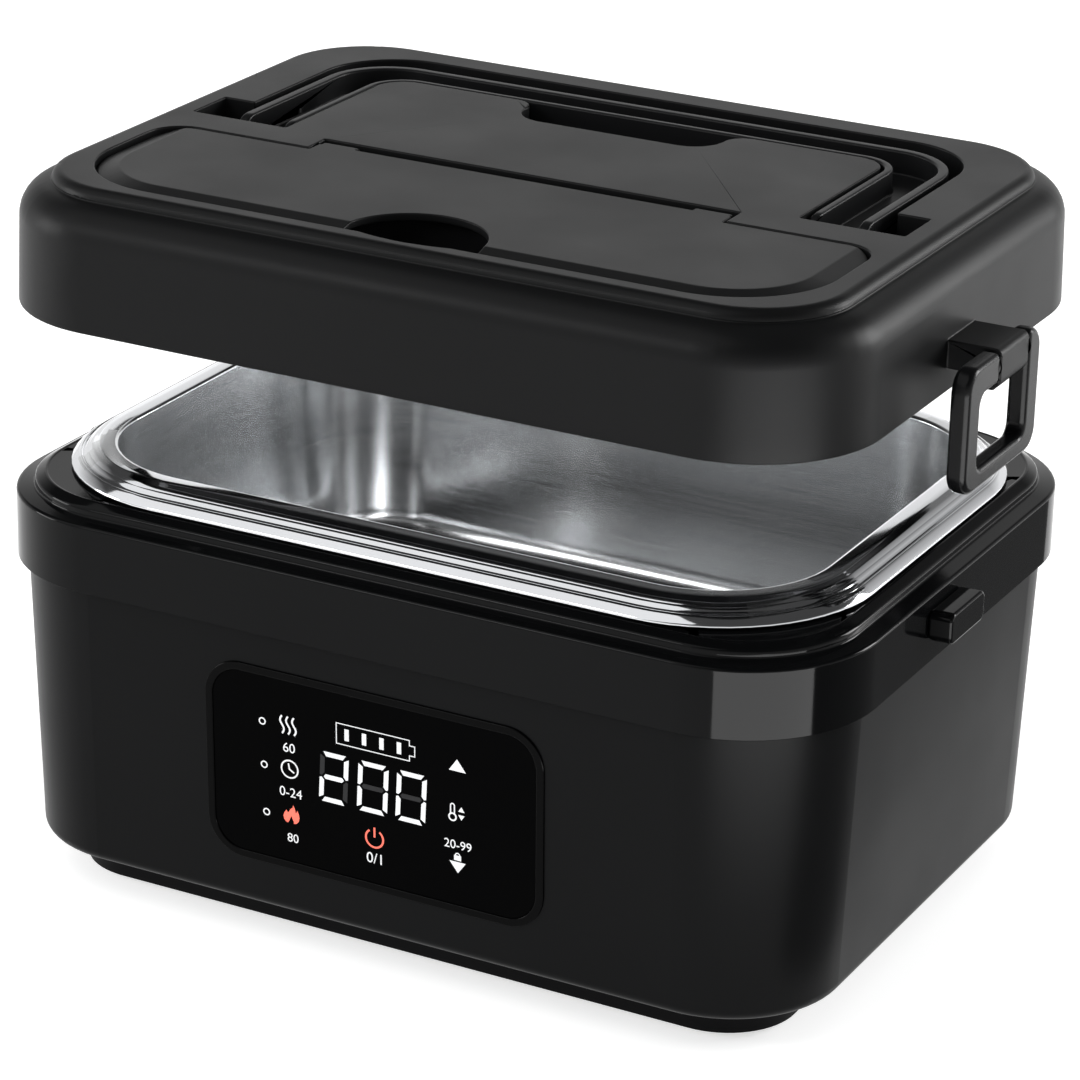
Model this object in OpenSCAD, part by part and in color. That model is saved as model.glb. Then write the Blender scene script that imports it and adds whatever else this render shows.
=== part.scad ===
// Electric lunch box: heated base, lift-out food tray and a clamped lid.
// Millimetres. X runs along the long side, the control panel faces -Y, Z is up.
// The lid group is drawn lifted above the base, as it is pictured.

/* [Base] */
// Width over the trim ring
base_w = 240; // [220:1:280]
// Depth over the trim ring
base_d = 181; // [165:1:220]
// Plan corner radius of the trim ring
corner_r = 36.6; // [32:0.2:44]
// Height of the ledge that the lid closes on
ledge_z = 106.4; // [100:0.2:125]
// Height of the trim ring's outer band
trim_h = 18.4; // [16:0.2:24]
// How far the casing stands back from the trim ring
case_inset = 2.9; // [2.7:0.1:4]
// How much the casing narrows per side from top to bottom
case_taper = 2.6; // [1:0.1:5]
// Wall of the casing
case_wall = 2.4; // [1.8:0.1:2.8]
// How far the foot plinth stands back from the trim ring
plinth_inset = 16.9; // [14:0.1:20]
// Height of the foot plinth
plinth_h = 10; // [9:0.2:14]
// Radius of the casing's lower edge
case_edge_r = 3; // [1:0.2:5]

/* [Trim ring] */
// Width of the flat ledge round the trim ring
ledge_w = 4.9; // [4.7:0.1:6]
// Height of the step inside the ledge
step_h = 2.2; // [1.6:0.1:3]
// Wall of the trim ring's outer band
trim_wall = 2.4; // [1.8:0.1:2.6]
// Distance from the outer band to the opening for the tray
trim_reach = 14; // [12.5:0.2:15]

/* [Food tray] */
// Distance from the trim ring's outer band to the tray's rolled edge
rim_inset = 8.2; // [7.8:0.1:9]
// Distance from the outer band to the tray's inner wall at the top
mouth_inset = 20.5; // [19.5:0.1:23]
// Depth from the rim's crest to the inside floor
tray_depth = 64; // [50:1:66]
// Wall of the pressed tray
tray_wall = 0.9; // [0.7:0.1:1.2]
// How much the tray narrows per side from top to floor
tray_taper = 5; // [2:0.5:7]
// Radius between the tray's wall and floor
tray_floor_r = 9; // [5:0.5:11]
// Height of the rim's crest above the ledge
crest_h = 9.8; // [9.4:0.1:11]

/* [Control panel] */
// Width of the panel frame
panel_w = 97; // [80:1:110]
// Height of the panel frame
panel_h = 55; // [45:1:58]
// Corner radius of the panel frame
panel_r = 10.5; // [6:0.5:14]
// Height of the panel's centre above the table
panel_z = 50.6; // [45:0.2:55]
// Width of the frame round the glass
frame_w = 2.2; // [1.6:0.1:3]
// How far the frame stands out of the casing
frame_proud = 0.6; // [0.3:0.1:1]
// Thickness of the panel glass
glass_t = 1.8; // [1.2:0.1:2.2]

/* [Lid] */
// How far the lid is held above its closed place
lid_rise = 49.7; // [40:0.1:70]
// Height of the lid from its lower edge to its top face
lid_h = 34.5; // [33.5:0.1:40]
// How far the lid's wall stands back from the trim ring
lid_inset = 1.9; // [1.6:0.1:2.2]
// Wall of the lid
lid_wall = 2.5; // [2:0.1:2.7]
// How much the lid's wall leans in up to its rounded edge
lid_taper = 0.6; // [0:0.1:1]
// Radius of the lid's rounded upper edge
lid_edge_r = 9; // [7.5:0.5:10]
// Height of the raised top of the lid
plateau_h = 3; // [2.8:0.1:3.4]
// Width of the rounded band round the raised top
plateau_inset = 8.8; // [8:0.1:9.6]
// Height of the liner's lower face above the lid's lower edge
liner_z = 10.4; // [10.2:0.1:11]
// Thickness of the liner
liner_t = 1.2; // [0.8:0.1:1.6]

/* [Carry handle] */
// Half width of the pad that the handle lies round
pad_half = 73.4; // [68:0.2:76]
// Distance of the pad's rear edge from the middle
pad_rear = 49; // [44:0.5:50]
// Radius of the pad's rear corners
pad_r = 8; // [5:0.5:12]
// Width of the handle's arms in plan
arm_w = 15.8; // [13:0.2:16.4]
// Width of the handle's cross bar in plan
bar_w = 12.7; // [11:0.2:14]
// Height of the handle's section
handle_h = 8.9; // [8.2:0.1:9.2]
// Thickness of the handle's inner rib
inner_rib = 2.2; // [1.6:0.1:2.8]
// Thickness of the handle's outer rib
outer_rib = 2.8; // [2:0.1:3.4]
// Thickness of the web between the ribs
handle_web = 2.6; // [2:0.1:3.4]
// Gap between the pad and the handle
pad_gap = 1; // [0.6:0.1:1.4]
// Gap between the handle's arms and the recess wall
side_gap = 2.4; // [1.6:0.1:3]
// Finger gap behind the handle's cross bar
rear_gap = 6.3; // [5:0.1:7]
// Half width of the finger dip in the pad
dip_half = 29; // [24:0.5:34]
// Depth of the finger dip in plan
dip_depth = 15.5; // [12:0.5:18]
// Drop at the finger dip's front edge
dip_drop = 2.6; // [1:0.1:4]
// Drop at the finger dip's rear edge
dip_fall = 8.4; // [6:0.1:9]
// Corner radius of the finger dip
dip_r = 9; // [5:0.5:11]
// Radius of the rounded lip at the finger dip's ends
dip_lip = 6; // [4:0.5:6]
// Distance of the handle's hinge line from the middle
handle_axis_y = 1; // [0:0.2:3]
// Diameter of the handle's hinge pins
handle_pin_d = 3.2; // [2.6:0.2:3.6]
// Radius of the handle's feet round the pins
foot_r = 3; // [2.8:0.1:3.4]
// Length of the handle's feet in their pockets
foot_len = 10.4; // [8:0.2:10.8]

/* [Cutlery compartment] */
// Distance of the cover's ends from the lid's sides
cover_side = 17.3; // [17:0.1:22]
// Distance of the cover's front edge from the lid's front
cover_edge = 16.1; // [15.8:0.1:19]
// Distance of the cover's rear seam from the middle
cover_rear = 19.5; // [18.8:0.1:22]
// Front corner radius of the cover
cover_r = 27; // [16:0.5:30]
// Half width of the cover's hinge tongue
tongue_half = 58.7; // [50:0.2:62]
// How far the hinge tongue reaches behind the seam
tongue_len = 5.1; // [4.4:0.1:5.6]
// Thickness of the cover
cover_t = 2; // [1.6:0.1:2.1]
// Width of the bevel along the cover's edge
bevel_w = 5.6; // [3:0.2:6]
// Drop of the bevel
bevel_drop = 1.4; // [0.4:0.1:1.5]
// Rear corner radius of the cover
cover_rear_r = 9; // [5:0.5:12]
// Seam round the cover
seam = 0.6; // [0.4:0.1:1]
// Width of the slot behind the hinge tongue
slot_w = 3.5; // [3:0.1:3.8]
// Radius of the thumb notch in the cover
notch_r = 18.5; // [15:0.5:20]
// How far the notch's centre lies behind the cover's front edge
notch_in = 3; // [0:0.5:4]
// Depth of the cutlery tub below the cover
tub_depth = 18; // [14:0.5:18.5]
// Wall of the cutlery tub
tub_wall = 1.5; // [1:0.1:2]
// Diameter of the cover's hinge pin
cover_pin_d = 2; // [1.6:0.1:2.4]

/* [Side latches] */
// Distance of the latches' middle towards the front
latch_y = 12; // [6:0.5:14]
// Outside width of the latch loop
loop_w = 45.4; // [38:0.2:50]
// Outside height of the latch loop
loop_h = 32.2; // [30:0.1:33]
// Width of the loop's side bars
loop_side = 8; // [6:0.2:9]
// Height of the loop's lower bar
loop_bar = 5.2; // [4:0.1:5.4]
// Height of the loop's upper bar
loop_top = 8; // [7:0.1:9]
// Thickness of the loop
loop_t = 5.2; // [4:0.1:5.4]
// Gap between the loop's inner face and the tip of the catch
loop_clear = 0.4; // [0.35:0.05:0.8]
// Height of the latch hinge above the lid's lower edge
latch_axis_z = 9; // [8.5:0.1:11]
// Width of the bracket that holds the loop
bracket_w = 17.5; // [14:0.5:18]
// Diameter of the latch pin
latch_pin_d = 3; // [2.4:0.1:3.4]
// How far the catch stands out of the trim ring
catch_reach = 6.4; // [5:0.1:8]
// Width of the catch
catch_w = 21; // [16:0.5:24]
// Height of the catch
catch_h = 8.2; // [6:0.1:8.6]

/* [Inner parts] */
// Wall of the heated well
well_wall = 1.2; // [0.8:0.1:1.6]
// Gap between the tray and the heated well
well_gap = 1.1; // [0.8:0.1:1.4]
// Thickness of the heating plate
heater_t = 3.5; // [2.5:0.1:5]
// Distance of the heating plate's edge from the trim ring's outer face
heater_inset = 44; // [40:0.5:55]
// Thickness of the insulation round the well
wool_t = 3; // [2:0.2:4]
// Width of the battery pack
battery_w = 124; // [90:1:130]
// Gap between the battery pack and the control board
battery_gap = 6; // [4:0.5:12]
// Height of the battery pack
battery_h = 19.5; // [15:0.5:20]
// Distance of the battery pack from the trim ring's front
battery_front = 40.5; // [38:0.5:45]
// Width of the control board
board_w = 68; // [50:1:80]
// Depth of the control board
board_d = 42; // [30:1:44]
// Distance of the control board from the trim ring's rear
board_rear = 34.5; // [33:0.5:38]
// Width of the display block behind the glass
display_w = 60; // [45:1:70]
// Height of the display block behind the glass
display_h = 26; // [18:1:34]
// Diameter of the rubber feet
foot_d = 13; // [10:0.5:14]
// Diameter of the charge socket
socket_d = 11; // [9:0.5:13]
// Distance of the charge socket from the middle
socket_x = 62; // [40:1:70]
// Height of the charge socket above the table
socket_z = 34; // [26:0.5:44]

/* [Hidden] */
$fn = 64;
eps = 0.01;
latch_play = 1.1;
fit = 0.3;
run = 0.05;
trim_foot_z = ledge_z - trim_h;
ledge_in_z = ledge_z + 0.6;
step_z = ledge_in_z + step_h;
crest_z = ledge_z + crest_h;
trim_top = ledge_z + 3.9;
hook_z = ledge_z - 6.4;
lid_closed = ledge_in_z + fit;
lid_z = lid_closed + lid_rise;
lid_w = base_w - 2 * lid_inset;
lid_d = base_d - 2 * lid_inset;
lid_r = corner_r - lid_inset;
lid_top = lid_h;
lid_shoulder = lid_h - plateau_h;
lid_ceiling = lid_h - lid_wall;
tray_floor = crest_z - tray_depth;
tray_under = tray_floor - tray_wall;
well_floor = tray_under - 0.5;
heater_z = well_floor - well_wall;
case_slope = atan(case_taper / (trim_foot_z - plinth_h - case_edge_r));
recess_half = pad_half + pad_gap + arm_w + side_gap;
recess_rear = pad_rear + pad_gap + bar_w + rear_gap;
bowl_corner = 42;
recess_r = 22;
recess_front = -6.8;
recess_wall = 2;
handle_top = lid_h - 0.3;
handle_low = handle_top - handle_h;
handle_half = recess_half - side_gap;
handle_rear = recess_rear - rear_gap;
handle_axis_z = handle_low + foot_r;
hub_r = handle_top - handle_axis_z;
recess_floor = handle_axis_z - hub_r - fit;
recess_depth = lid_h - recess_floor;
pocket_out = handle_half + foot_len + 1;
boss_out = pocket_out + 4.9;
cover_half = lid_w / 2 - cover_side;
cover_front = lid_d / 2 - cover_edge;
cover_low = lid_ceiling + fit;
cover_top = cover_low + cover_t;
tongue_y = -cover_rear + tongue_len;
slot_y = tongue_y + seam + slot_w;
cover_axis_y = tongue_y + 1.2;
lug_r = cover_t - 0.1;
cover_axis_z = cover_top - lug_r;
tub_half = cover_half - 2.3;
tub_front = -cover_front + 1;
tub_rear = -cover_rear - 3;
tub_floor = lid_ceiling - tub_depth;
notch_y = -cover_front + notch_in;
scoop_r = 44;
scoop_y = -cover_front - 2.3 + scoop_r;
scoop_depth = 10;
wall_x = base_w / 2;
loop_in = wall_x + catch_reach + loop_clear;
loop_out = loop_in + loop_t;
latch_axis_x = (loop_in + loop_out) / 2;
loop_z1 = latch_axis_z + loop_top / 2;
loop_z0 = loop_z1 - loop_h;
bracket_y = -latch_y + loop_w / 2 - loop_side - 0.5 - bracket_w;
catch_z = lid_closed + loop_z0 + loop_bar + latch_play;
screw_x = lid_w / 2 - 10;
screw_y = 35;
case_screw_x = base_w / 2 - 22.5;
case_screw_y = 40;
board_z = plinth_h + 9;
board_y = base_d / 2 - board_rear - board_d;
battery_y = -base_d / 2 + battery_front;
battery_d = board_y - battery_gap - battery_y;
post_in = 8;
chip_w = 16;
chip_d = 12;
chip_h = 8;
cap_d = 10;
thermostat_d = 16;
thermostat_h = 8;
fuse_d = 4;
fuse_l = 24;
fuse_clip = 6.8;
lug_w = 10;
lug_end = 5.6;
lug_x = tongue_half - lug_end;
display_edge = 5;
display_t = 1.6;
display_z = frame_proud - 0.3 - glass_t - 4.1;
foot_in = 13;
plinth_lip = 28;

// Rounded rectangle centred on the origin
module plan(w, d, r) {
    square([w - 2 * r, d], center = true);
    square([w, d - 2 * r], center = true);
    for (x = [-1, 1], y = [-1, 1]) {
        translate([x * (w / 2 - r), y * (d / 2 - r)]) circle(r);
    }
}

// Flat plate with a rounded rectangle plan
module plate(w, d, r, z0, z1) {
    translate([0, 0, z0]) linear_extrude(z1 - z0) plan(w, d, r);
}

// Carries a wall section round a rounded rectangle. The section's x is the
// distance outwards from the line of corner centres, its y is the height.
module carry_round(w, d, r) {
    cx = w / 2 - r;
    cy = d / 2 - r;
    sx = [1, -1, -1, 1];
    sy = [1, 1, -1, -1];
    for (i = [0:3]) {
        translate([sx[i] * cx, sy[i] * cy, 0]) rotate([0, 0, 90 * i]) {
            rotate_extrude(angle = 90) children();
            rotate([90, 0, 0]) linear_extrude(i % 2 == 0 ? 2 * cy : 2 * cx) children();
        }
    }
}

// The same, filled in the middle between heights z0 and z1
module carry_solid(w, d, r, z0, z1) {
    carry_round(w, d, r) children();
    translate([-(w / 2 - r), -(d / 2 - r), z0]) cube([w - 2 * r, d - 2 * r, z1 - z0]);
}

// Places what follows in both mirror images across X
module both_sides() {
    children();
    mirror([1, 0, 0]) children();
}

// Puts a flat drawing on the sloping front wall of the casing
module on_front() {
    front_y = -base_d / 2 + case_inset + (trim_foot_z - panel_z) * tan(case_slope);
    translate([0, front_y, panel_z]) rotate([90 + case_slope, 0, 0]) children();
}

// ---- base ----

// Section of the casing, t inside its outer face
module case_section(t) {
    low = plinth_h + t;
    edge = max(0.4, case_edge_r - t);
    foot_x = corner_r - case_inset - case_taper - t;
    top_x = corner_r - case_inset - t;
    polygon([
        [0, low], [foot_x - edge, low], [foot_x, low + edge],
        [top_x, trim_foot_z], [top_x, hook_z + 5], [0, hook_z + 5]
    ]);
    translate([foot_x - edge, low + edge]) circle(edge);
}

module outer_case() {
    color([0.12, 0.12, 0.13]) difference() {
        intersection() {
            carry_solid(base_w, base_d, corner_r, plinth_h, hook_z + 5) case_section(0);
            plate(base_w, base_d, corner_r, 0, hook_z - fit);
        }
        difference() {
            carry_solid(base_w, base_d, corner_r, plinth_h + case_wall, hook_z + 5)
                case_section(case_wall);
            case_bosses();
        }
        plate(base_w - 2 * plinth_lip, base_d - 2 * plinth_lip, 12, 0, plinth_h + 20);
        on_front() translate([0, 0, -8]) linear_extrude(12) plan(panel_w, panel_h, panel_r);
        socket_axis() cylinder(h = 30, d = socket_d, center = true);
        at_case_screws() translate([0, 0, plinth_h - 1]) cylinder(h = 8.5, d = 3);
    }
}

// Screw bosses standing on the casing's floor
module case_bosses() {
    at_case_screws() translate([0, 0, plinth_h]) cylinder(h = 12, d = 8);
}

module at_case_screws() {
    for (x = [-1, 1], y = [-1, 1]) {
        translate([x * case_screw_x, y * case_screw_y, 0]) children();
    }
}

module socket_axis() {
    back_y = base_d / 2 - case_inset - (trim_foot_z - socket_z) * tan(case_slope);
    translate([socket_x, back_y, socket_z]) rotate([-90 - case_slope, 0, 0]) children();
}

module bottom_cover() {
    w = base_w - 2 * plinth_inset;
    d = base_d - 2 * plinth_inset;
    r = corner_r - plinth_inset;
    color([0.1, 0.1, 0.11]) difference() {
        union() {
            plate(w, d, r, plinth_h - 2.4, plinth_h);
            difference() {
                plate(w, d, r, 1.2, plinth_h - 1);
                plate(w - 5, d - 5, r - 2.5, 0, plinth_h + 1);
            }
            at_feet() translate([0, 0, 1.2]) cylinder(h = plinth_h - 2, d = foot_d + 4);
            for (x = [-1, 1], y = [post_in, board_d - post_in]) {
                translate([x * (board_w / 2 - post_in), board_y + y, plinth_h - 1])
                    cylinder(h = board_z - plinth_h + 1, d = 6);
            }
        }
        at_feet() cylinder(h = 2.2, d = foot_d);
        at_case_screws() cylinder(h = 30, d = 3.2);
    }
}

module at_feet() {
    x = base_w / 2 - plinth_inset - foot_in;
    y = base_d / 2 - plinth_inset - foot_in;
    for (sx = [-1, 1], sy = [-1, 1]) {
        translate([sx * x, sy * y, 0]) children();
    }
}

module rubber_foot(sx, sy) {
    x = base_w / 2 - plinth_inset - foot_in;
    y = base_d / 2 - plinth_inset - foot_in;
    color([0.05, 0.05, 0.05]) translate([sx * x, sy * y, 0]) {
        cylinder(h = 2.2, d = foot_d);
    }
}

module trim_section() {
    difference() {
        union() {
            // outer band with a softened upper edge
            translate([corner_r - ledge_w - 1, trim_foot_z])
                square([ledge_w + 1, ledge_z - 0.8 - trim_foot_z]);
            translate([corner_r - 0.8, ledge_z - 0.8]) circle(0.8);
            polygon([
                [corner_r - trim_reach, hook_z], [corner_r - 0.8, hook_z],
                [corner_r - 0.8, ledge_z], [corner_r - ledge_w, ledge_in_z],
                [corner_r - ledge_w, step_z - 0.3], [corner_r - ledge_w - 0.3, step_z],
                [corner_r - rim_inset + 0.3, trim_top + 0.5],
                [corner_r - rim_inset, trim_top], [corner_r - trim_reach, trim_top]
            ]);
        }
        // slot that takes the casing's upper edge
        translate([corner_r - 30, trim_foot_z - 1])
            square([30 - trim_wall, hook_z - trim_foot_z + 1]);
    }
}

module trim_ring() {
    color([0.03, 0.03, 0.035]) carry_round(base_w, base_d, corner_r) trim_section();
}

module catch_block() {
    color([0.03, 0.03, 0.035]) translate([wall_x, -latch_y, catch_z + catch_h / 2])
        rotate([90, 0, 90]) linear_extrude(catch_reach) plan(catch_w, catch_h, 2.2);
}

// ---- food tray ----

// The tray's tapered bowl, t outside the food side, used for tray and well
module bowl(t, floor_z, top_z) {
    carry_solid(base_w, base_d, bowl_corner, floor_z, top_z) bowl_shape(t, floor_z, top_z);
}

module bowl_shape(t, floor_z, top_z) {
    x_top = bowl_corner - mouth_inset + t;
    x_low = x_top - tray_taper;
    r = tray_floor_r + t;
    intersection() {
        union() {
            polygon([
                [0, floor_z], [x_low - r, floor_z], [x_low, floor_z + r],
                [x_top, crest_z], [x_top, crest_z + 20], [0, crest_z + 20]
            ]);
            translate([x_low - r, floor_z + r]) circle(r);
        }
        translate([0, floor_z]) square([bowl_corner, top_z - floor_z]);
    }
}

// Rolled rim: outer bead, groove, rising band and inner crest
module rim_section() {
    o = corner_r - rim_inset;
    low = trim_top + 0.4;
    i = corner_r - mouth_inset;
    polygon([
        [o, low], [o, low + 1.2], [o - 3.6, low + 2.5], [o - 4.8, low + 2.3],
        [o - 5.4, low + 1.8], [o - 6, low + 2.5], [o - 9.6, crest_z - 0.7],
        [i + 1.6, crest_z], [i, crest_z], [i, crest_z - 2.2],
        [i + tray_wall, crest_z - 2.2], [o - 9, crest_z - 2.2], [o - 5.4, low]
    ]);
    translate([o - 2.2, low + 1.2]) circle(1.2);
}

module food_tray() {
    color([0.75, 0.76, 0.78]) {
        carry_round(base_w, base_d, corner_r) rim_section();
        difference() {
            bowl(tray_wall, tray_under, crest_z - 0.4);
            bowl(0, tray_floor, crest_z + 5);
        }
    }
}

module heater_well() {
    flange = hook_z - well_wall;
    out = well_gap + tray_wall + well_wall;
    color([0.7, 0.71, 0.72]) difference() {
        union() {
            bowl(out, heater_z, hook_z);
            plate(base_w - 2 * 9, base_d - 2 * 9, corner_r - 9, flange, hook_z);
        }
        bowl(well_gap + tray_wall, well_floor, crest_z + 5);
    }
}

// ---- inner parts ----

module heating_plate() {
    w = base_w - 2 * heater_inset;
    d = base_d - 2 * heater_inset;
    color([0.8, 0.78, 0.72]) plate(w, d, well_wall * 10, heater_z - heater_t, heater_z);
}

module insulation_jacket() {
    inner = well_gap + tray_wall + well_wall + 0.2;
    low = heater_z + tray_floor_r + 2 * heater_t + well_gap;
    color([0.85, 0.84, 0.8]) intersection() {
        difference() {
            bowl(inner + wool_t, heater_z - wool_t, hook_z);
            bowl(inner, heater_z - 0.2, hook_z + 5);
        }
        plate(base_w, base_d, corner_r, low, hook_z - well_wall - 1.5);
    }
}

module thermostat() {
    z = heater_z - heater_t;
    color([0.15, 0.15, 0.16]) translate([-2 * thermostat_d, 0, z - thermostat_h]) {
        cylinder(h = thermostat_h, d = thermostat_d);
        translate([-thermostat_d / 2 - 2, -2.5, 3]) cube([thermostat_d + 4, 5, 1]);
    }
}

module thermal_fuse() {
    z = heater_z - heater_t;
    color([0.8, 0.8, 0.75]) translate([fuse_l / 2, 0, z]) {
        translate([0, fuse_l / 2, -fuse_d / 2 - 0.2]) rotate([90, 0, 0])
            cylinder(h = fuse_l, d = fuse_d);
        translate([-fuse_clip / 2, -fuse_d, -fuse_d - 0.6])
            cube([fuse_clip, 2 * fuse_d, fuse_d + 0.6]);
    }
}

module battery_pack() {
    color([0.2, 0.35, 0.5]) translate([-battery_w / 2, battery_y, plinth_h])
        cube([battery_w, battery_d, battery_h]);
}

module control_board() {
    color([0.1, 0.35, 0.2]) {
        translate([-board_w / 2, board_y, board_z]) cube([board_w, board_d, 1.6]);
        translate([-chip_w, board_y + chip_d, board_z + 1.5]) cube([chip_w, chip_d, chip_h]);
        translate([cap_d, board_y + board_d - 2 * cap_d, board_z + 1.5])
            cylinder(h = chip_h + 1, d = cap_d);
    }
}

module display_board() {
    color([0.1, 0.35, 0.2]) on_front() {
        translate([0, 0, display_z]) linear_extrude(display_t)
            plan(panel_w - 2 * display_edge, panel_h - 2 * display_edge, display_edge);
        translate([0, 0, display_z + display_t - eps])
            linear_extrude(frame_proud - 0.3 - glass_t - display_z - display_t + eps)
                plan(display_w, display_h, 2);
    }
}

module panel_frame() {
    color([0.02, 0.02, 0.025]) on_front() translate([0, 0, -case_wall]) difference() {
        linear_extrude(case_wall + frame_proud) plan(panel_w, panel_h, panel_r);
        translate([0, 0, -1]) linear_extrude(case_wall + frame_proud + 2)
            plan(panel_w - 2 * frame_w, panel_h - 2 * frame_w, panel_r - frame_w);
    }
}

module panel_glass() {
    color([0.01, 0.01, 0.015]) on_front() translate([0, 0, frame_proud - 0.3 - glass_t])
        linear_extrude(glass_t)
            plan(panel_w - 2 * frame_w, panel_h - 2 * frame_w, panel_r - frame_w);
}

module charge_socket() {
    color([0.06, 0.06, 0.06]) socket_axis() difference() {
        union() {
            translate([0, 0, -13]) cylinder(h = 13.5, d = socket_d);
            cylinder(h = 1, d = socket_d + 4);
            translate([0, 0, -case_wall - 1.8]) cylinder(h = 1.8, d = socket_d + 4);
        }
        translate([0, 0, -9]) difference() {
            cylinder(h = 20, d = 5.6);
            cylinder(h = 8, d = 2);
        }
    }
}

// Screw with its head below, tip at height z1
module screw(z0, z1, head) {
    translate([0, 0, z0 - head]) cylinder(h = head, d = 5.6);
    translate([0, 0, z0 - eps]) cylinder(h = z1 - z0, d = 3);
}

module case_screw(sx, sy) {
    color([0.6, 0.6, 0.62]) translate([sx * case_screw_x, sy * case_screw_y, 0])
        screw(plinth_h - 2.4, plinth_h + 7, 2);
}

// ---- lid ----

// Section of the lid, t inside its outer face
module lid_section(t, low) {
    foot_x = lid_r - t;
    top_x = foot_x - lid_taper;
    edge = lid_edge_r - t;
    bend_z = lid_shoulder - lid_edge_r;
    crown_x = lid_r - plateau_inset - t;
    crown_r = max(0.5, plateau_h - t);
    polygon([[0, low], [foot_x, low], [top_x, bend_z], [0, bend_z]]);
    translate([top_x - edge, bend_z]) circle(edge);
    square([top_x - edge, lid_shoulder - t]);
    square([crown_x, lid_top - t - crown_r]);
    square([crown_x - crown_r, lid_top - t]);
    translate([crown_x - crown_r, lid_top - t - crown_r]) circle(crown_r);
}

module lid_form(t, low) {
    carry_solid(lid_w, lid_d, lid_r, low, lid_top - t) lid_section(t, low);
}

// U-shaped plan: outer box less the pad, both with rounded rear corners
module u_plan(outer, rear, r_out, inner, inner_rear, r_in, front) {
    difference() {
        rear_round(outer, rear, r_out, front);
        rear_round(inner, inner_rear, r_in, front - 1);
    }
}

module rear_round(half, rear, r, front) {
    translate([-half, front]) square([2 * half, rear - r - front]);
    translate([-half + r, front]) square([2 * (half - r), rear - front]);
    for (x = [-1, 1]) {
        translate([x * (half - r), rear - r]) circle(r);
    }
}

module pocket_plan(grow) {
    for (x = [-1, 1]) {
        translate([x > 0 ? recess_half - 3 : -pocket_out - grow, recess_front - grow])
            square([pocket_out + grow - recess_half + 3, 16 + 2 * grow]);
    }
}

module recess_plan() {
    u_plan(recess_half, recess_rear, recess_r, pad_half, pad_rear, pad_r, recess_front);
    pocket_plan(0);
}

module trough_plan() {
    w = recess_wall;
    u_plan(recess_half + w, recess_rear + w, recess_r + w,
        pad_half - w, pad_rear - w, pad_r - w, recess_front - w);
    pocket_plan(w);
}

// Sloping finger recess at the rear of the pad, with S-shaped ends
module finger_dip(grow) {
    front = pad_rear - dip_depth;
    drop = dip_drop + grow;
    intersection() {
        translate([0, 0, recess_floor - grow]) linear_extrude(recess_depth + 5) dip_plan(grow);
        rotate([90, 0, 90]) translate([0, 0, -pad_half]) linear_extrude(2 * pad_half) polygon([
            [front - grow, lid_top + 1], [front - grow, lid_top - drop],
            [pad_rear + 0.5, lid_top - dip_fall - grow], [pad_rear + 0.5, lid_top + 1]
        ]);
    }
}

module dip_plan(grow) {
    front = pad_rear - dip_depth;
    translate([-dip_half - grow, front + dip_r])
        square([2 * (dip_half + grow), dip_depth - dip_r + 0.5]);
    translate([-dip_half + dip_r, front - grow])
        square([2 * (dip_half - dip_r), dip_depth + grow + 0.5]);
    for (x = [-1, 1]) {
        translate([x * (dip_half - dip_r), front + dip_r]) circle(dip_r + grow);
        // rounded lip where the dip runs out to the pad's edge
        difference() {
            translate([x > 0 ? dip_half - 1 : -dip_half - dip_lip, pad_rear - dip_lip])
                square([dip_lip + 1, dip_lip + 0.5]);
            translate([x * (dip_half + dip_lip + grow), pad_rear - dip_lip]) circle(dip_lip);
        }
    }
}

// Plan of the cover, grown by g all round
module cover_plan(g) {
    intersection() {
        plan(2 * (cover_half + g), 2 * (cover_front + g), cover_r + g);
        rear_round(cover_half + g, -cover_rear + g, cover_rear_r + g, -cover_front - 2);
    }
    translate([-tongue_half - g, -cover_rear - 4])
        square([2 * (tongue_half + g), tongue_len + 4 + g]);
}

// Half-moon thumb well in front of the cover
module scoop_plan(r, g) {
    intersection() {
        translate([0, notch_y]) circle(r);
        translate([0, scoop_y]) circle(scoop_r + g);
    }
}

// Moulded block on the lid's side that carries the latch pin
module bracket_form() {
    root = lid_w / 2 - 4;
    y0 = bracket_y;
    z1 = loop_z1 + 0.4;
    z0 = latch_axis_z - 6;
    translate([0, y0 + bracket_w, 0]) rotate([90, 0, 0]) linear_extrude(bracket_w) {
        translate([root, z0 + 3]) square([loop_out - root, z1 - z0 - 5]);
        translate([root, z1 - 3]) square([loop_out - root - 2, 3]);
        translate([loop_out - 2, z1 - 2]) circle(2);
        translate([loop_in - 2, z0]) square([loop_t + 0.2, 5]);
        translate([loop_out - 3, z0 + 3]) circle(3);
        translate([loop_in - 1, z0 + 3]) circle(3);
    }
}

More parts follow.
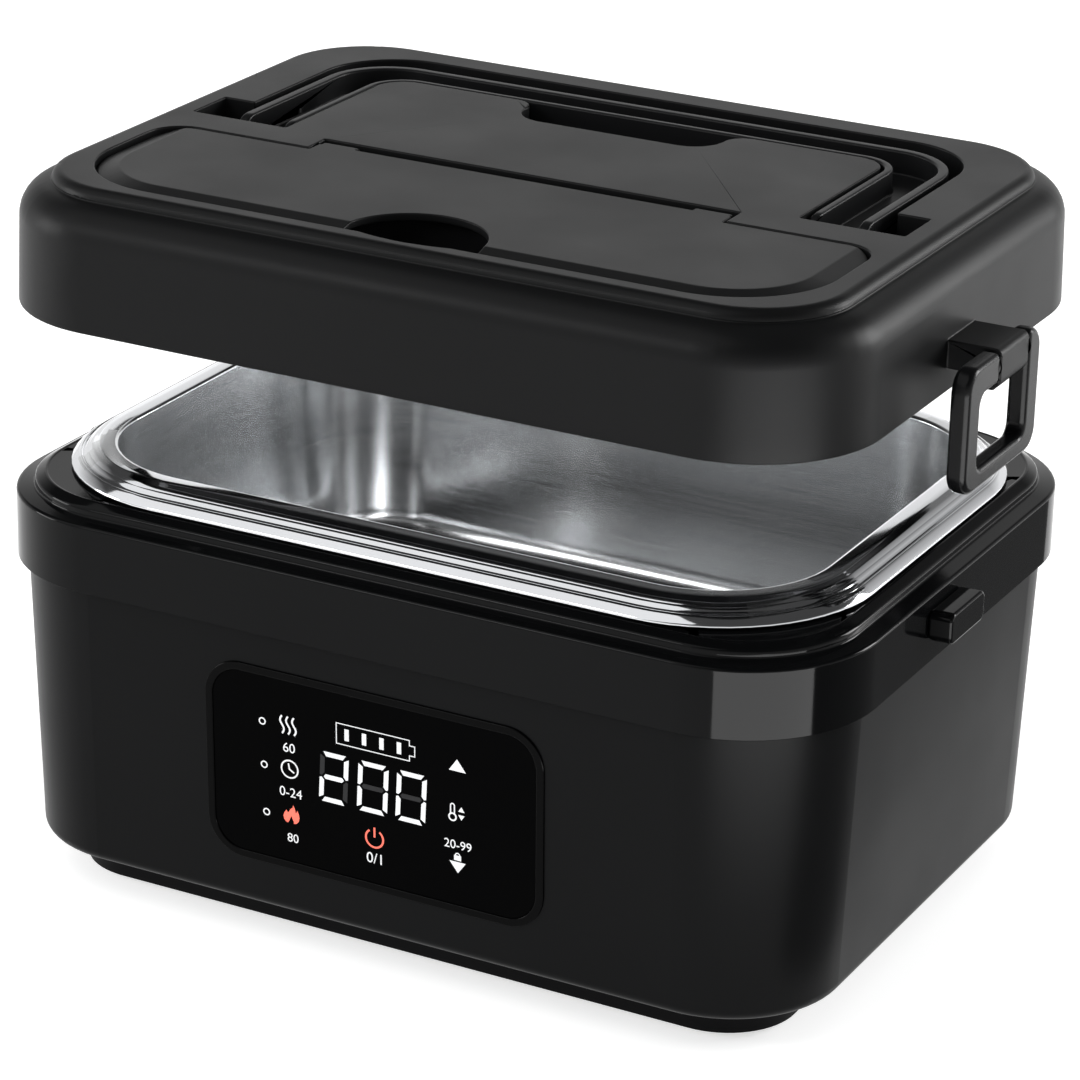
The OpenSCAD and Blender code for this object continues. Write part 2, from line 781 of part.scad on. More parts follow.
module lid_shell() {
    color([0.2, 0.2, 0.21]) translate([0, 0, lid_z]) difference() {
        union() {
            difference() {
                union() {
                    lid_form(0, 0);
                    both_sides() bracket_form();
                }
                difference() {
                    lid_form(lid_wall, -1);
                    lid_inner();
                }
            }
        }
        translate([0, 0, recess_floor]) linear_extrude(recess_depth + 5) recess_plan();
        finger_dip(0);
        translate([0, 0, lid_ceiling - 6]) linear_extrude(20) intersection() {
            cover_plan(seam);
            translate([-200, -200]) square([400, 200 + tongue_y + seam]);
        }
        translate([-tongue_half - seam, -cover_rear - 2, lid_ceiling - 6])
            cube([2 * (tongue_half + seam), slot_y + cover_rear + 2, 20]);
        translate([0, 0, lid_ceiling - 10]) linear_extrude(20) scoop_plan(notch_r + seam, 0);
        // bores for the hinge pins
        both_sides() translate([pocket_out - 1, handle_axis_y, handle_axis_z]) rotate([0, 90, 0])
            cylinder(h = boss_out - pocket_out + 0.6, d = handle_pin_d + 2 * run);
        translate([0, cover_axis_y, cover_axis_z]) rotate([0, 90, 0])
            cylinder(h = 2 * tongue_half + 12, d = cover_pin_d + 2 * run, center = true);
        both_sides() translate([latch_axis_x, -latch_y + 40, latch_axis_z]) rotate([90, 0, 0])
            cylinder(h = 80, d = latch_pin_d + 2 * run);
        at_lid_screws() translate([0, 0, liner_z]) cylinder(h = 10, d = 3);
    }
}

// What stands inside the lid's hollow: recess walls, pin bosses, screw bosses
module lid_inner() {
    translate([0, 0, recess_floor - recess_wall])
        linear_extrude(lid_ceiling - recess_floor + recess_wall + 1) trough_plan();
    finger_dip(recess_wall);
    both_sides() {
        translate([pocket_out, handle_axis_y - 5, handle_axis_z - 5])
            cube([boss_out - pocket_out, 10, lid_ceiling - handle_axis_z + 6]);
        translate([tongue_half + seam, cover_axis_y - 3, cover_axis_z - 3])
            cube([7, 7, lid_ceiling - cover_axis_z + 4]);
    }
    at_lid_screws() translate([0, 0, liner_z + liner_t])
        cylinder(h = lid_ceiling - liner_z - liner_t + 1, d = 8.4);
}

module at_lid_screws() {
    for (x = [-1, 1], y = [-1, 1]) {
        translate([x * screw_x, y * screw_y, 0]) children();
    }
}

module lid_screw(sx, sy) {
    color([0.6, 0.6, 0.62]) translate([sx * screw_x, sy * screw_y, lid_z])
        screw(liner_z, liner_z + 9.8, 1.8);
}

module lid_liner() {
    gap = lid_inset + lid_wall + 0.4;
    color([0.5, 0.5, 0.52]) translate([0, 0, lid_z]) difference() {
        plate(base_w - 2 * gap, base_d - 2 * gap, corner_r - gap, liner_z, liner_z + liner_t);
        at_lid_screws() cylinder(h = 40, d = 3.2);
    }
}

module lid_seal() {
    out = base_w - 2 * (mouth_inset - 2.7);
    out_d = base_d - 2 * (mouth_inset - 2.7);
    r = corner_r - mouth_inset + 2.7;
    low = crest_z - lid_closed + fit + 0.1;
    color([0.75, 0.75, 0.75]) translate([0, 0, lid_z]) difference() {
        plate(out, out_d, r, low, liner_z);
        plate(out - 6, out_d - 6, r - 3, 0, liner_z + 1);
    }
}

module cutlery_tub() {
    color([0.16, 0.16, 0.17]) translate([0, 0, lid_z]) difference() {
        union() {
            translate([0, 0, tub_floor - tub_wall]) linear_extrude(tub_depth + tub_wall)
                tub_plan(0);
            translate([0, 0, lid_ceiling - 2]) linear_extrude(2) tub_plan(3.4);
            thumb_well();
        }
        difference() {
            translate([0, 0, tub_floor]) linear_extrude(40) tub_plan(-tub_wall);
            thumb_well();
        }
        translate([0, 0, lid_ceiling - scoop_depth]) linear_extrude(20)
            scoop_plan(notch_r + 4, 0);
    }
}

// Closed well under the cover's thumb notch
module thumb_well() {
    translate([0, 0, lid_ceiling - scoop_depth - tub_wall])
        linear_extrude(scoop_depth + tub_wall) scoop_plan(notch_r + 4 + tub_wall, 1.1);
}

module tub_plan(g) {
    intersection() {
        plan(2 * (tub_half + g), 2 * (-tub_front + g), cover_r);
        translate([-200, -200]) square([400, 200 + tub_rear]);
    }
}

// ---- handle ----

module handle_pin() {
    color([0.7, 0.7, 0.72]) translate([handle_half + 1, handle_axis_y, lid_z + handle_axis_z])
        rotate([0, 90, 0]) cylinder(h = boss_out - handle_half - 1.6, d = handle_pin_d);
}

module carry_handle() {
    in = pad_half + pad_gap;
    in_rear = pad_rear + pad_gap;
    front = handle_axis_y - hub_r;
    web = handle_low + handle_web;
    color([0.13, 0.13, 0.14]) translate([0, 0, lid_z]) difference() {
        intersection() {
            union() {
                translate([0, 0, handle_low]) linear_extrude(handle_h)
                    u_plan(handle_half, handle_rear, recess_r - 3, in, in_rear, pad_r + 1, front);
                both_sides() translate([handle_half - 1, handle_axis_y, handle_axis_z])
                    rotate([0, 90, 0]) cylinder(h = foot_len + 1, r = foot_r);
            }
            // rounded ends that turn in the recess
            union() {
                translate([-150, handle_axis_y, handle_low]) cube([300, 200, handle_h]);
                intersection() {
                    translate([-150, front - 1, handle_low]) cube([300, 200, handle_h]);
                    translate([-150, handle_axis_y, handle_axis_z]) rotate([0, 90, 0])
                        cylinder(h = 300, r = hub_r);
                }
            }
        }
        // open channel between the two ribs
        translate([0, 0, web]) linear_extrude(20) u_plan(
            handle_half - outer_rib, handle_rear - outer_rib, recess_r - 3 - outer_rib,
            in + inner_rib, in_rear + inner_rib, pad_r + 1 + inner_rib, front - 1
        );
        both_sides() translate([handle_half - outer_rib - 1, handle_axis_y, handle_axis_z])
            rotate([0, 90, 0]) cylinder(h = 30, d = handle_pin_d + 2 * run);
    }
}

// ---- cover ----

module cover_section() {
    x = cover_r;
    polygon([
        [0, cover_low], [x, cover_low], [x, cover_top - bevel_drop],
        [x - bevel_w, cover_top], [0, cover_top]
    ]);
}

module cutlery_cover() {
    color([0.19, 0.19, 0.2]) translate([0, 0, lid_z]) difference() {
        union() {
            intersection() {
                carry_solid(2 * cover_half, 2 * cover_front, cover_r, cover_low, cover_top)
                    cover_section();
                linear_extrude(lid_h) rear_round(cover_half, -cover_rear, cover_rear_r,
                    -cover_front - 2);
            }
            translate([-tongue_half, -cover_rear - 2, cover_low])
                cube([2 * tongue_half, tongue_len + 2, cover_t]);
            for (x = [-lug_x, lug_x]) {
                translate([x - lug_w / 2, cover_axis_y, cover_axis_z]) rotate([0, 90, 0])
                    cylinder(h = lug_w, r = lug_r);
                translate([x - lug_w / 2, tongue_y - 2, cover_low])
                    cube([lug_w, cover_axis_y - tongue_y + 2, cover_t]);
            }
        }
        translate([0, notch_y, 0]) cylinder(h = 100, r = notch_r);
        translate([-tongue_half - 1, cover_axis_y, cover_axis_z]) rotate([0, 90, 0])
            cylinder(h = 2 * tongue_half + 2, d = cover_pin_d + 2 * run);
    }
}

module cover_pin() {
    color([0.7, 0.7, 0.72]) translate([-tongue_half - 5.5, cover_axis_y, lid_z + cover_axis_z])
        rotate([0, 90, 0]) cylinder(h = 2 * tongue_half + 11, d = cover_pin_d);
}

// ---- latches ----

module latch_loop() {
    mid_z = (loop_z0 + loop_z1) / 2;
    win_w = loop_w - 2 * loop_side;
    win_h = loop_h - loop_bar - loop_top;
    win_z = loop_z0 + loop_bar + win_h / 2;
    color([0.09, 0.09, 0.1]) translate([0, -latch_y, lid_z]) difference() {
        translate([loop_in, 0, mid_z]) rotate([90, 0, 90]) linear_extrude(loop_t)
            plan(loop_w, loop_h, 6);
        translate([loop_in - 1, 0, win_z]) rotate([90, 0, 90]) linear_extrude(loop_t + 2)
            plan(win_w, win_h, 3);
        translate([loop_in - 1, bracket_y + latch_y - 0.5, win_z])
            cube([loop_t + 2, bracket_w + 1, 40]);
        translate([latch_axis_x, loop_w / 2 - 2.5, latch_axis_z]) rotate([90, 0, 0])
            cylinder(h = loop_w - 5, d = latch_pin_d);
    }
}

module latch_pin() {
    color([0.7, 0.7, 0.72]) translate([latch_axis_x, loop_w / 2 - 3 - latch_y, lid_z + latch_axis_z])
        rotate([90, 0, 0]) cylinder(h = loop_w - 6, d = latch_pin_d);
}

outer_case();
bottom_cover();
trim_ring();
catch_block();  // catch_right
mirror([1, 0, 0]) catch_block();  // catch_left
rubber_foot(1, -1);  // foot_front_right
rubber_foot(-1, -1);  // foot_front_left
rubber_foot(1, 1);  // foot_rear_right
rubber_foot(-1, 1);  // foot_rear_left
heater_well();
heating_plate();
insulation_jacket();
thermostat();
thermal_fuse();
battery_pack();
control_board();
display_board();
panel_frame();
panel_glass();
charge_socket();
case_screw(1, -1);  // case_screw_fr
case_screw(-1, -1);  // case_screw_fl
case_screw(1, 1);  // case_screw_rr
case_screw(-1, 1);  // case_screw_rl
food_tray();
lid_shell();
lid_liner();
lid_seal();
cutlery_tub();
lid_screw(1, -1);  // lid_screw_fr
lid_screw(-1, -1);  // lid_screw_fl
lid_screw(1, 1);  // lid_screw_rr
lid_screw(-1, 1);  // lid_screw_rl
handle_pin();  // handle_pin_right
mirror([1, 0, 0]) handle_pin();  // handle_pin_left
cover_pin();
carry_handle();
cutlery_cover();
latch_loop();  // latch_loop_right
mirror([1, 0, 0]) latch_loop();  // latch_loop_left
latch_pin();  // latch_pin_right
mirror([1, 0, 0]) latch_pin();  // latch_pin_left
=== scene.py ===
import math
import bpy
import bmesh
from mathutils import Matrix, Vector


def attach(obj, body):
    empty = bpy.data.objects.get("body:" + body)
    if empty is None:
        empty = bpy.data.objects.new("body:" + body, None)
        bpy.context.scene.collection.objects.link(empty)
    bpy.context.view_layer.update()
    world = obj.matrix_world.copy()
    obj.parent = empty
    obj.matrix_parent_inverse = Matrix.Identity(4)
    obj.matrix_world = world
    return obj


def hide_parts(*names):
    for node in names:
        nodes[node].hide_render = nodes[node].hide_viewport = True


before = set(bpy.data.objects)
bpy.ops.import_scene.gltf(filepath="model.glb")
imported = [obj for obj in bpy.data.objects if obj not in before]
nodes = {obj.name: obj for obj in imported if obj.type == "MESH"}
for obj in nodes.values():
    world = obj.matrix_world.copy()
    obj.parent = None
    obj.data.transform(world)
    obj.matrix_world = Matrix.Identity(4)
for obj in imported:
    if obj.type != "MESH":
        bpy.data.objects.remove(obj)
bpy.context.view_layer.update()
scene = bpy.context.scene
scene.view_settings.view_transform = "Standard"
mm = 0.001


def tell(stage):
    print("lunch box:", stage)


# camera: fitted to the photograph's outlines

cameraFit = {
    "place": (0.480361, -0.919442, 0.503895),
    "azimuth": 27.566,  # degrees round from the front
    "elevation": 21.806,  # degrees above the table
    "roll": 1.327,
    "lens": 141.776,  # mm on a 36 mm sensor
    "sensor": 36.0,
}

studio = {
    "floorTone": 0.80,
    "floorGlow": 0.62,  # what the camera and polished pieces see on top of the lit floor
    "floorSize": 6.0,
    "floorDrop": -0.0002,  # just under the feet
    "fillTone": 0.42,  # what the world gives to matt surfaces
    "glossTone": 0.95,  # what polished surfaces see near the horizon
    "glossTop": 0.06,  # and what they see overhead
    "glossFade": (0.20, 0.55),  # sines of the heights where the first turns into the second
}

lampRig = {
    # place, aim, width, height, watts
    "keyLamp": ((-0.95, -0.95, 1.6), (0, 0, 0.1), 2.2, 2.0, 13.5),
    "glintLamp": ((-0.85, -1.45, 1.1), (0, 0, 0.1), 0.4, 0.4, 4.0),
    "backLamp": ((-0.75, 1.45, 0.75), (0, 0, 0.17), 1.6, 0.7, 1.3),
    "sideLamp": ((1.05, 1.05, 0.55), (0.1, 0, 0.16), 0.5, 0.7, 17.0),
    "leftLamp": ((-1.30, -0.55, 0.35), (-0.1, 0, 0.14), 0.5, 0.5, 6.0),
}

floorCards = {
    # cards on the floor that only reflections show: a lit one, which the trim's right front
    # corner mirrors, and a dim one, which its right side mirrors: painted shade, in place of the
    # floor's shadow there
    "cornerCard": {"corners": ((0.116, -0.262), (0.158, -0.58), (0.65, -0.58), (0.65, -0.118),
                               (0.285, -0.088)),
                   "height": 0.0008, "glow": 8.5},
    # painted shade: a dim card that only reflections see, standing in for the floor's shadow at the
    # back right
    "sideCard": {"corners": ((0.145, -0.085), (0.60, -0.114), (0.60, 0.10), (0.30, 0.20),
                             (0.25, 0.36), (0.18, 0.36), (0.165, 0.12), (0.14, -0.01)),
                 "height": 0.0005, "glow": 0.2},
}


def makeCamera(fit):
    data = bpy.data.cameras.new("photoCamera")
    data.sensor_width = fit["sensor"]
    data.lens = fit["lens"]
    data.clip_start = 0.05
    data.clip_end = 60
    cam = bpy.data.objects.new("photoCamera", data)
    scene.collection.objects.link(cam)
    az, el, roll = (math.radians(fit[k]) for k in ("azimuth", "elevation", "roll"))
    ahead = Vector((-math.sin(az) * math.cos(el), math.cos(az) * math.cos(el), -math.sin(el)))
    right = Vector((math.cos(az), math.sin(az), 0))
    up = right.cross(ahead)
    turned = right * math.cos(roll) + up * math.sin(roll)
    upTurned = up * math.cos(roll) - right * math.sin(roll)
    turn = Matrix((turned, upTurned, -ahead)).transposed().to_4x4()
    cam.matrix_world = Matrix.Translation(Vector(fit["place"])) @ turn
    scene.camera = cam


def makeLamps(rig):
    for name, (place, aim, width, height, watts) in rig.items():
        data = bpy.data.lights.new(name, "AREA")
        data.shape = "RECTANGLE"
        data.size = width
        data.size_y = height
        data.energy = watts
        lamp = bpy.data.objects.new(name, data)
        scene.collection.objects.link(lamp)
        lamp.visible_camera = False
        look = (Vector(aim) - Vector(place)).to_track_quat("-Z", "Y")
        lamp.matrix_world = Matrix.Translation(Vector(place)) @ look.to_matrix().to_4x4()


class Graph:
    # short calls to add and join the nodes of a material, a world or a geometry tree
    def __init__(self, tree):
        self.tree = tree
        tree.nodes.clear()
        self.x = 0

    def add(self, kind, **values):
        node = self.tree.nodes.new(kind)
        node.location = (self.x, 0)
        self.x += 180
        for key, value in values.items():
            if hasattr(node, key):
                setattr(node, key, value)
            else:
                node.inputs[key.replace("_", " ")].default_value = value
        return node

    def join(self, a, b):
        self.tree.links.new(a, b)

    def remap(self, source, low, high, fromLow=0.3, fromHigh=0.7):
        # spreads a noise's middle range over the values asked for
        node = self.add("ShaderNodeMapRange")
        limits = {"From Min": fromLow, "From Max": fromHigh, "To Min": low, "To Max": high}
        for key, value in limits.items():
            node.inputs[key].default_value = value
        self.join(source, node.inputs["Value"])
        return node.outputs[0]

    def tones(self, source, dark, light, start=0.35, end=0.65):
        node = self.add("ShaderNodeValToRGB")
        for stop, place, tone in zip(node.color_ramp.elements, (start, end), (dark, light)):
            stop.position = place
            stop.color = (*tone, 1)
        self.join(source, node.inputs[0])
        return node.outputs[0]


def seenDirectly(g, *kinds):
    # 1 for rays of the named kinds, else 0
    path = g.add("ShaderNodeLightPath")
    total = path.outputs[kinds[0]]
    for kind in kinds[1:]:
        either = g.add("ShaderNodeMath", operation="MAXIMUM")
        g.join(total, either.inputs[0])
        g.join(path.outputs[kind], either.inputs[1])
        total = either.outputs[0]
    return total


def makeWorld(look):
    world = bpy.data.worlds.new("studioWorld")
    scene.world = world
    world.use_nodes = True
    g = Graph(world.node_tree)
    place = g.add("ShaderNodeTexCoord")
    split = g.add("ShaderNodeSeparateXYZ")
    g.join(place.outputs["Generated"], split.inputs[0])
    lift = g.remap(split.outputs["Z"], look["glossTone"], look["glossTop"], *look["glossFade"])
    toGloss = g.add("ShaderNodeMix", data_type="FLOAT")
    toGloss.inputs[2].default_value = look["fillTone"]
    g.join(seenDirectly(g, "Is Glossy Ray", "Is Transmission Ray"), toGloss.inputs[0])
    g.join(lift, toGloss.inputs[3])
    toCamera = g.add("ShaderNodeMix", data_type="FLOAT")
    toCamera.inputs[3].default_value = 1.0
    g.join(seenDirectly(g, "Is Camera Ray"), toCamera.inputs[0])
    g.join(toGloss.outputs[0], toCamera.inputs[2])
    sky = g.add("ShaderNodeBackground")
    sky.inputs["Color"].default_value = (1, 1, 1, 1)
    g.join(toCamera.outputs[0], sky.inputs["Strength"])
    out = g.add("ShaderNodeOutputWorld")
    g.join(sky.outputs[0], out.inputs[0])


def makeFloor(look):
    half = look["floorSize"] / 2
    mesh = bpy.data.meshes.new("studioFloor")
    low = look["floorDrop"]
    corners = [(-half, -half, low), (half, -half, low), (half, half, low), (-half, half, low)]
    mesh.from_pydata(corners, [], [(0, 1, 2, 3)])
    floor = bpy.data.objects.new("studioFloor", mesh)
    scene.collection.objects.link(floor)
    mat = bpy.data.materials.new("floorPaper")
    mat.use_nodes = True
    g = Graph(mat.node_tree)
    place = g.add("ShaderNodeTexCoord")
    grain = g.add("ShaderNodeTexNoise", Scale=60.0)
    g.join(place.outputs["Object"], grain.inputs["Vector"])
    rise = g.add("ShaderNodeBump", Strength=0.02)
    g.join(grain.outputs["Fac"], rise.inputs["Height"])
    paper = g.add("ShaderNodeBsdfDiffuse")
    paper.inputs["Color"].default_value = (look["floorTone"],) * 3 + (1,)
    g.join(rise.outputs[0], paper.inputs["Normal"])
    glow = g.add("ShaderNodeEmission")
    strength = g.remap(seenDirectly(g, "Is Camera Ray", "Is Glossy Ray", "Is Transmission Ray"),
                       0.0, look["floorGlow"], 0.0, 1.0)
    g.join(strength, glow.inputs["Strength"])
    both = g.add("ShaderNodeAddShader")
    g.join(paper.outputs[0], both.inputs[0])
    g.join(glow.outputs[0], both.inputs[1])
    # from below the floor is clear, so that the underside of the box can be looked at
    side = g.add("ShaderNodeNewGeometry")
    clear = g.add("ShaderNodeBsdfTransparent")
    seen = g.add("ShaderNodeMixShader")
    g.join(side.outputs["Backfacing"], seen.inputs[0])
    g.join(both.outputs[0], seen.inputs[1])
    g.join(clear.outputs[0], seen.inputs[2])
    out = g.add("ShaderNodeOutputMaterial")
    g.join(seen.outputs[0], out.inputs[0])
    mesh.materials.append(mat)


def makeCard(name, look):
    mesh = bpy.data.meshes.new(name)
    corners = [(x, y, look["height"]) for x, y in look["corners"]]
    mesh.from_pydata(corners, [], [tuple(range(len(corners)))])
    card = bpy.data.objects.new(name, mesh)
    scene.collection.objects.link(card)
    card.visible_camera = False
    card.visible_diffuse = False
    card.visible_shadow = False
    mat = bpy.data.materials.new(name + "Light")
    mat.use_nodes = True
    g = Graph(mat.node_tree)
    glow = g.add("ShaderNodeEmission")
    glow.inputs["Strength"].default_value = look["glow"]
    out = g.add("ShaderNodeOutputMaterial")
    g.join(glow.outputs[0], out.inputs[0])
    mesh.materials.append(mat)


makeCamera(cameraFit)
makeLamps(lampRig)
for name, look in floorCards.items():
    makeCard(name, look)
makeWorld(studio)
makeFloor(studio)
tell("camera, lamps and floor")


def moulded(name, look):
    # plastic or rubber: fine grain as bump, cloudy roughness and a faint change of tone
    mat = bpy.data.materials.new(name)
    mat.use_nodes = True
    g = Graph(mat.node_tree)
    place = g.add("ShaderNodeTexCoord").outputs["Object"]
    skin = g.add("ShaderNodeBsdfPrincipled")
    skin.inputs["Specular IOR Level"].default_value = look["specular"]
    clouds = g.add("ShaderNodeTexNoise", Scale=look.get("cloudScale", 30.0), Detail=3.0)
    g.join(place, clouds.inputs["Vector"])
    g.join(g.remap(clouds.outputs["Fac"], *look["rough"]), skin.inputs["Roughness"])
    drift = g.add("ShaderNodeTexNoise", Scale=look.get("cloudScale", 30.0) * 0.4, Detail=2.0)
    g.join(place, drift.inputs["Vector"])
    light = [c * look.get("drift", 1.15) for c in look["tone"]]
    g.join(g.tones(drift.outputs["Fac"], look["tone"], light), skin.inputs["Base Color"])
    grain = g.add("ShaderNodeTexNoise", Scale=look["grainScale"], Detail=2.0, Roughness=0.6)
    g.join(place, grain.inputs["Vector"])
    rise = g.add("ShaderNodeBump", Strength=look["grain"], Distance=0.0002)
    g.join(grain.outputs["Fac"], rise.inputs["Height"])
    g.join(rise.outputs[0], skin.inputs["Normal"])
    out = g.add("ShaderNodeOutputMaterial")
    g.join(skin.outputs[0], out.inputs[0])
    return mat


def drawnMetal(name, look):
    # drawn or turned metal: streaks along one direction over a satin or polished skin
    mat = bpy.data.materials.new(name)
    mat.use_nodes = True
    g = Graph(mat.node_tree)
    place = g.add("ShaderNodeTexCoord").outputs["Object"]
    skin = g.add("ShaderNodeBsdfPrincipled")
    skin.inputs["Metallic"].default_value = 1.0
    stretch = g.add("ShaderNodeMapping")
    stretch.inputs["Scale"].default_value = look["stretch"]
    g.join(place, stretch.inputs["Vector"])
    streaks = g.add("ShaderNodeTexNoise", Scale=1.0, Detail=4.0, Roughness=0.65)
    g.join(stretch.outputs[0], streaks.inputs["Vector"])
    g.join(g.remap(streaks.outputs["Fac"], *look["rough"]), skin.inputs["Roughness"])
    clouds = g.add("ShaderNodeTexNoise", Scale=18.0, Detail=2.0)
    g.join(place, clouds.inputs["Vector"])
    dark = [c * 0.94 for c in look["tone"]]
    g.join(g.tones(clouds.outputs["Fac"], dark, look["tone"], 0.3, 0.7), skin.inputs["Base Color"])
    rise = g.add("ShaderNodeBump", Strength=look["grain"], Distance=0.00005)
    g.join(streaks.outputs["Fac"], rise.inputs["Height"])
    g.join(rise.outputs[0], skin.inputs["Normal"])
    out = g.add("ShaderNodeOutputMaterial")
    g.join(skin.outputs[0], out.inputs[0])
    return mat


def printedLight(name, look):
    # printed symbol lit from behind, a little brighter and dimmer from place to place
    mat = bpy.data.materials.new(name)
    mat.use_nodes = True
    g = Graph(mat.node_tree)
    place = g.add("ShaderNodeTexCoord").outputs["Object"]
    skin = g.add("ShaderNodeBsdfPrincipled")
    skin.inputs["Roughness"].default_value = 0.45
    skin.inputs["Specular IOR Level"].default_value = 0.1
    skin.inputs["Emission Strength"].default_value = look["glow"]
    clouds = g.add("ShaderNodeTexNoise", Scale=260.0, Detail=2.0)
    g.join(place, clouds.inputs["Vector"])
    dark = [c * 0.93 for c in look["tone"]]
    tones = g.tones(clouds.outputs["Fac"], dark, look["tone"], 0.3, 0.7)
    g.join(tones, skin.inputs["Base Color"])
    g.join(tones, skin.inputs["Emission Color"])
    rise = g.add("ShaderNodeBump", Strength=0.05, Distance=0.0001)
    g.join(clouds.outputs["Fac"], rise.inputs["Height"])
    g.join(rise.outputs[0], skin.inputs["Normal"])
    out = g.add("ShaderNodeOutputMaterial")
    g.join(skin.outputs[0], out.inputs[0])
    return mat


mouldedLooks = {
    # tone, roughness from and to, size and strength of the grain, specular level
    "lidBlack": {"tone": (0.0065, 0.0067, 0.0070), "rough": (0.36, 0.42), "grainScale": 2600.0,
                 "grain": 0.10, "specular": 0.11},
    "caseBlack": {"tone": (0.0045, 0.0047, 0.0050), "rough": (0.30, 0.36), "grainScale": 2600.0,
                  "grain": 0.07, "specular": 0.075},
    "plinthBlack": {"tone": (0.006, 0.006, 0.0065), "rough": (0.45, 0.55), "grainScale": 1800.0,
                    "grain": 0.15, "specular": 0.06},
    "trimGloss": {"tone": (0.0035, 0.0037, 0.0040), "rough": (0.06, 0.09), "grainScale": 900.0,
                  "grain": 0.01, "specular": 0.10},
    "handleBlack": {"tone": (0.0075, 0.0077, 0.0082), "rough": (0.32, 0.38), "grainScale": 2400.0,
                    "grain": 0.08, "specular": 0.12},
    "latchBlack": {"tone": (0.0045, 0.0047, 0.0051), "rough": (0.24, 0.30), "grainScale": 2400.0,
                   "grain": 0.06, "specular": 0.14},
    "tubBlack": {"tone": (0.006, 0.006, 0.0065), "rough": (0.45, 0.52), "grainScale": 2200.0,
                 "grain": 0.12, "specular": 0.08},
    "linerBlack": {"tone": (0.014, 0.014, 0.015), "rough": (0.30, 0.36), "grainScale": 2000.0,
                   "grain": 0.06, "specular": 0.2},
    "rimBlack": {"tone": (0.0012, 0.0012, 0.0013), "rough": (0.12, 0.16), "grainScale": 900.0,
                 "grain": 0.02, "specular": 0.05},
    "touchGlass": {"tone": (0.0012, 0.0012, 0.0013), "rough": (0.05, 0.07), "grainScale": 400.0,
                   "grain": 0.004, "specular": 0.015},
    "innerPlastic": {"tone": (0.02, 0.02, 0.022), "rough": (0.40, 0.50), "grainScale": 1800.0,
                     "grain": 0.12, "specular": 0.2},
    "sealRubber": {"tone": (0.33, 0.33, 0.34), "rough": (0.55, 0.65), "grainScale": 1600.0,
                   "grain": 0.10, "specular": 0.25},
    "footRubber": {"tone": (0.02, 0.02, 0.02), "rough": (0.70, 0.80), "grainScale": 1400.0,
                   "grain": 0.25, "specular": 0.15},
    "batteryWrap": {"tone": (0.06, 0.14, 0.30), "rough": (0.22, 0.30), "grainScale": 300.0,
                    "grain": 0.10, "specular": 0.4},
    "boardGreen": {"tone": (0.02, 0.12, 0.05), "rough": (0.30, 0.40), "grainScale": 700.0,
                   "grain": 0.20, "specular": 0.4},
    "jacketWool": {"tone": (0.62, 0.60, 0.54), "rough": (0.85, 0.95), "grainScale": 900.0,
                   "grain": 0.9, "specular": 0.1, "drift": 1.2},
}

metalLooks = {
    # tone, roughness from and to, how the streaks are stretched, strength of the streaks
    "trayPolish": {"tone": (0.76, 0.77, 0.79), "rough": (0.05, 0.10), "stretch": (6.0, 6.0, 1400.0),
                   "grain": 0.03},
    "traySatin": {"tone": (0.70, 0.71, 0.72), "rough": (0.17, 0.23), "stretch": (14.0, 14.0, 900.0),
                  "grain": 0.045},
    "wellMetal": {"tone": (0.66, 0.67, 0.68), "rough": (0.30, 0.42),
                  "stretch": (10.0, 10.0, 1200.0), "grain": 0.25},
    "heaterMetal": {"tone": (0.62, 0.60, 0.55), "rough": (0.35, 0.5),
                    "stretch": (300.0, 12.0, 300.0), "grain": 0.3},
    "pinSteel": {"tone": (0.60, 0.60, 0.61), "rough": (0.18, 0.28), "stretch": (1500.0, 60.0, 60.0),
                 "grain": 0.2},
    "pinBlack": {"tone": (0.05, 0.05, 0.052), "rough": (0.30, 0.40),
                 "stretch": (1500.0, 60.0, 60.0), "grain": 0.2},
}

lightLooks = {
    "symbolWhite": {"tone": (0.76, 0.77, 0.78), "glow": 0.62},
    "symbolRed": {"tone": (0.85, 0.17, 0.12), "glow": 0.85},
    "segmentDark": {"tone": (0.03, 0.03, 0.031), "glow": 0.3},
}

finishes = {}
for maker, looks in ((moulded, mouldedLooks), (drawnMetal, metalLooks), (printedLight, lightLooks)):
    for name, look in looks.items():
        finishes[name] = maker(name, look)

cadFinish = {
    "bottom_cover": "plinthBlack", "heater_well": "wellMetal", "heating_plate": "heaterMetal",
    "insulation_jacket": "jacketWool", "thermostat": "innerPlastic", "thermal_fuse": "heaterMetal",
    "battery_pack": "batteryWrap", "control_board": "boardGreen", "display_board": "boardGreen",
    "charge_socket": "innerPlastic", "lid_liner": "linerBlack", "lid_seal": "sealRubber",
    "cutlery_tub": "tubBlack", "handle_pin_right": "pinBlack", "handle_pin_left": "pinBlack",
    "cover_pin": "pinBlack", "latch_pin_right": "pinSteel", "latch_pin_left": "pinSteel",
    "foot_front_right": "footRubber", "foot_front_left": "footRubber",
    "foot_rear_right": "footRubber", "foot_rear_left": "footRubber",
    "outer_case": "caseBlack",
}

for nodeName, finish in cadFinish.items():
    for slot in nodes[nodeName].material_slots:
        slot.material = finishes[finish]
tell("finishes")


def addPiece(name, mesh, finish, body, slotName, *replaced):
    # puts a finished mesh into the scene as a piece that rides on its body
    piece = bpy.data.objects.new(name, mesh)
    scene.collection.objects.link(piece)
    if finish:
        mesh.materials.clear()
        mesh.materials.append(finishes[finish])
    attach(piece, body)
    if replaced:
        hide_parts(*replaced)
    return piece


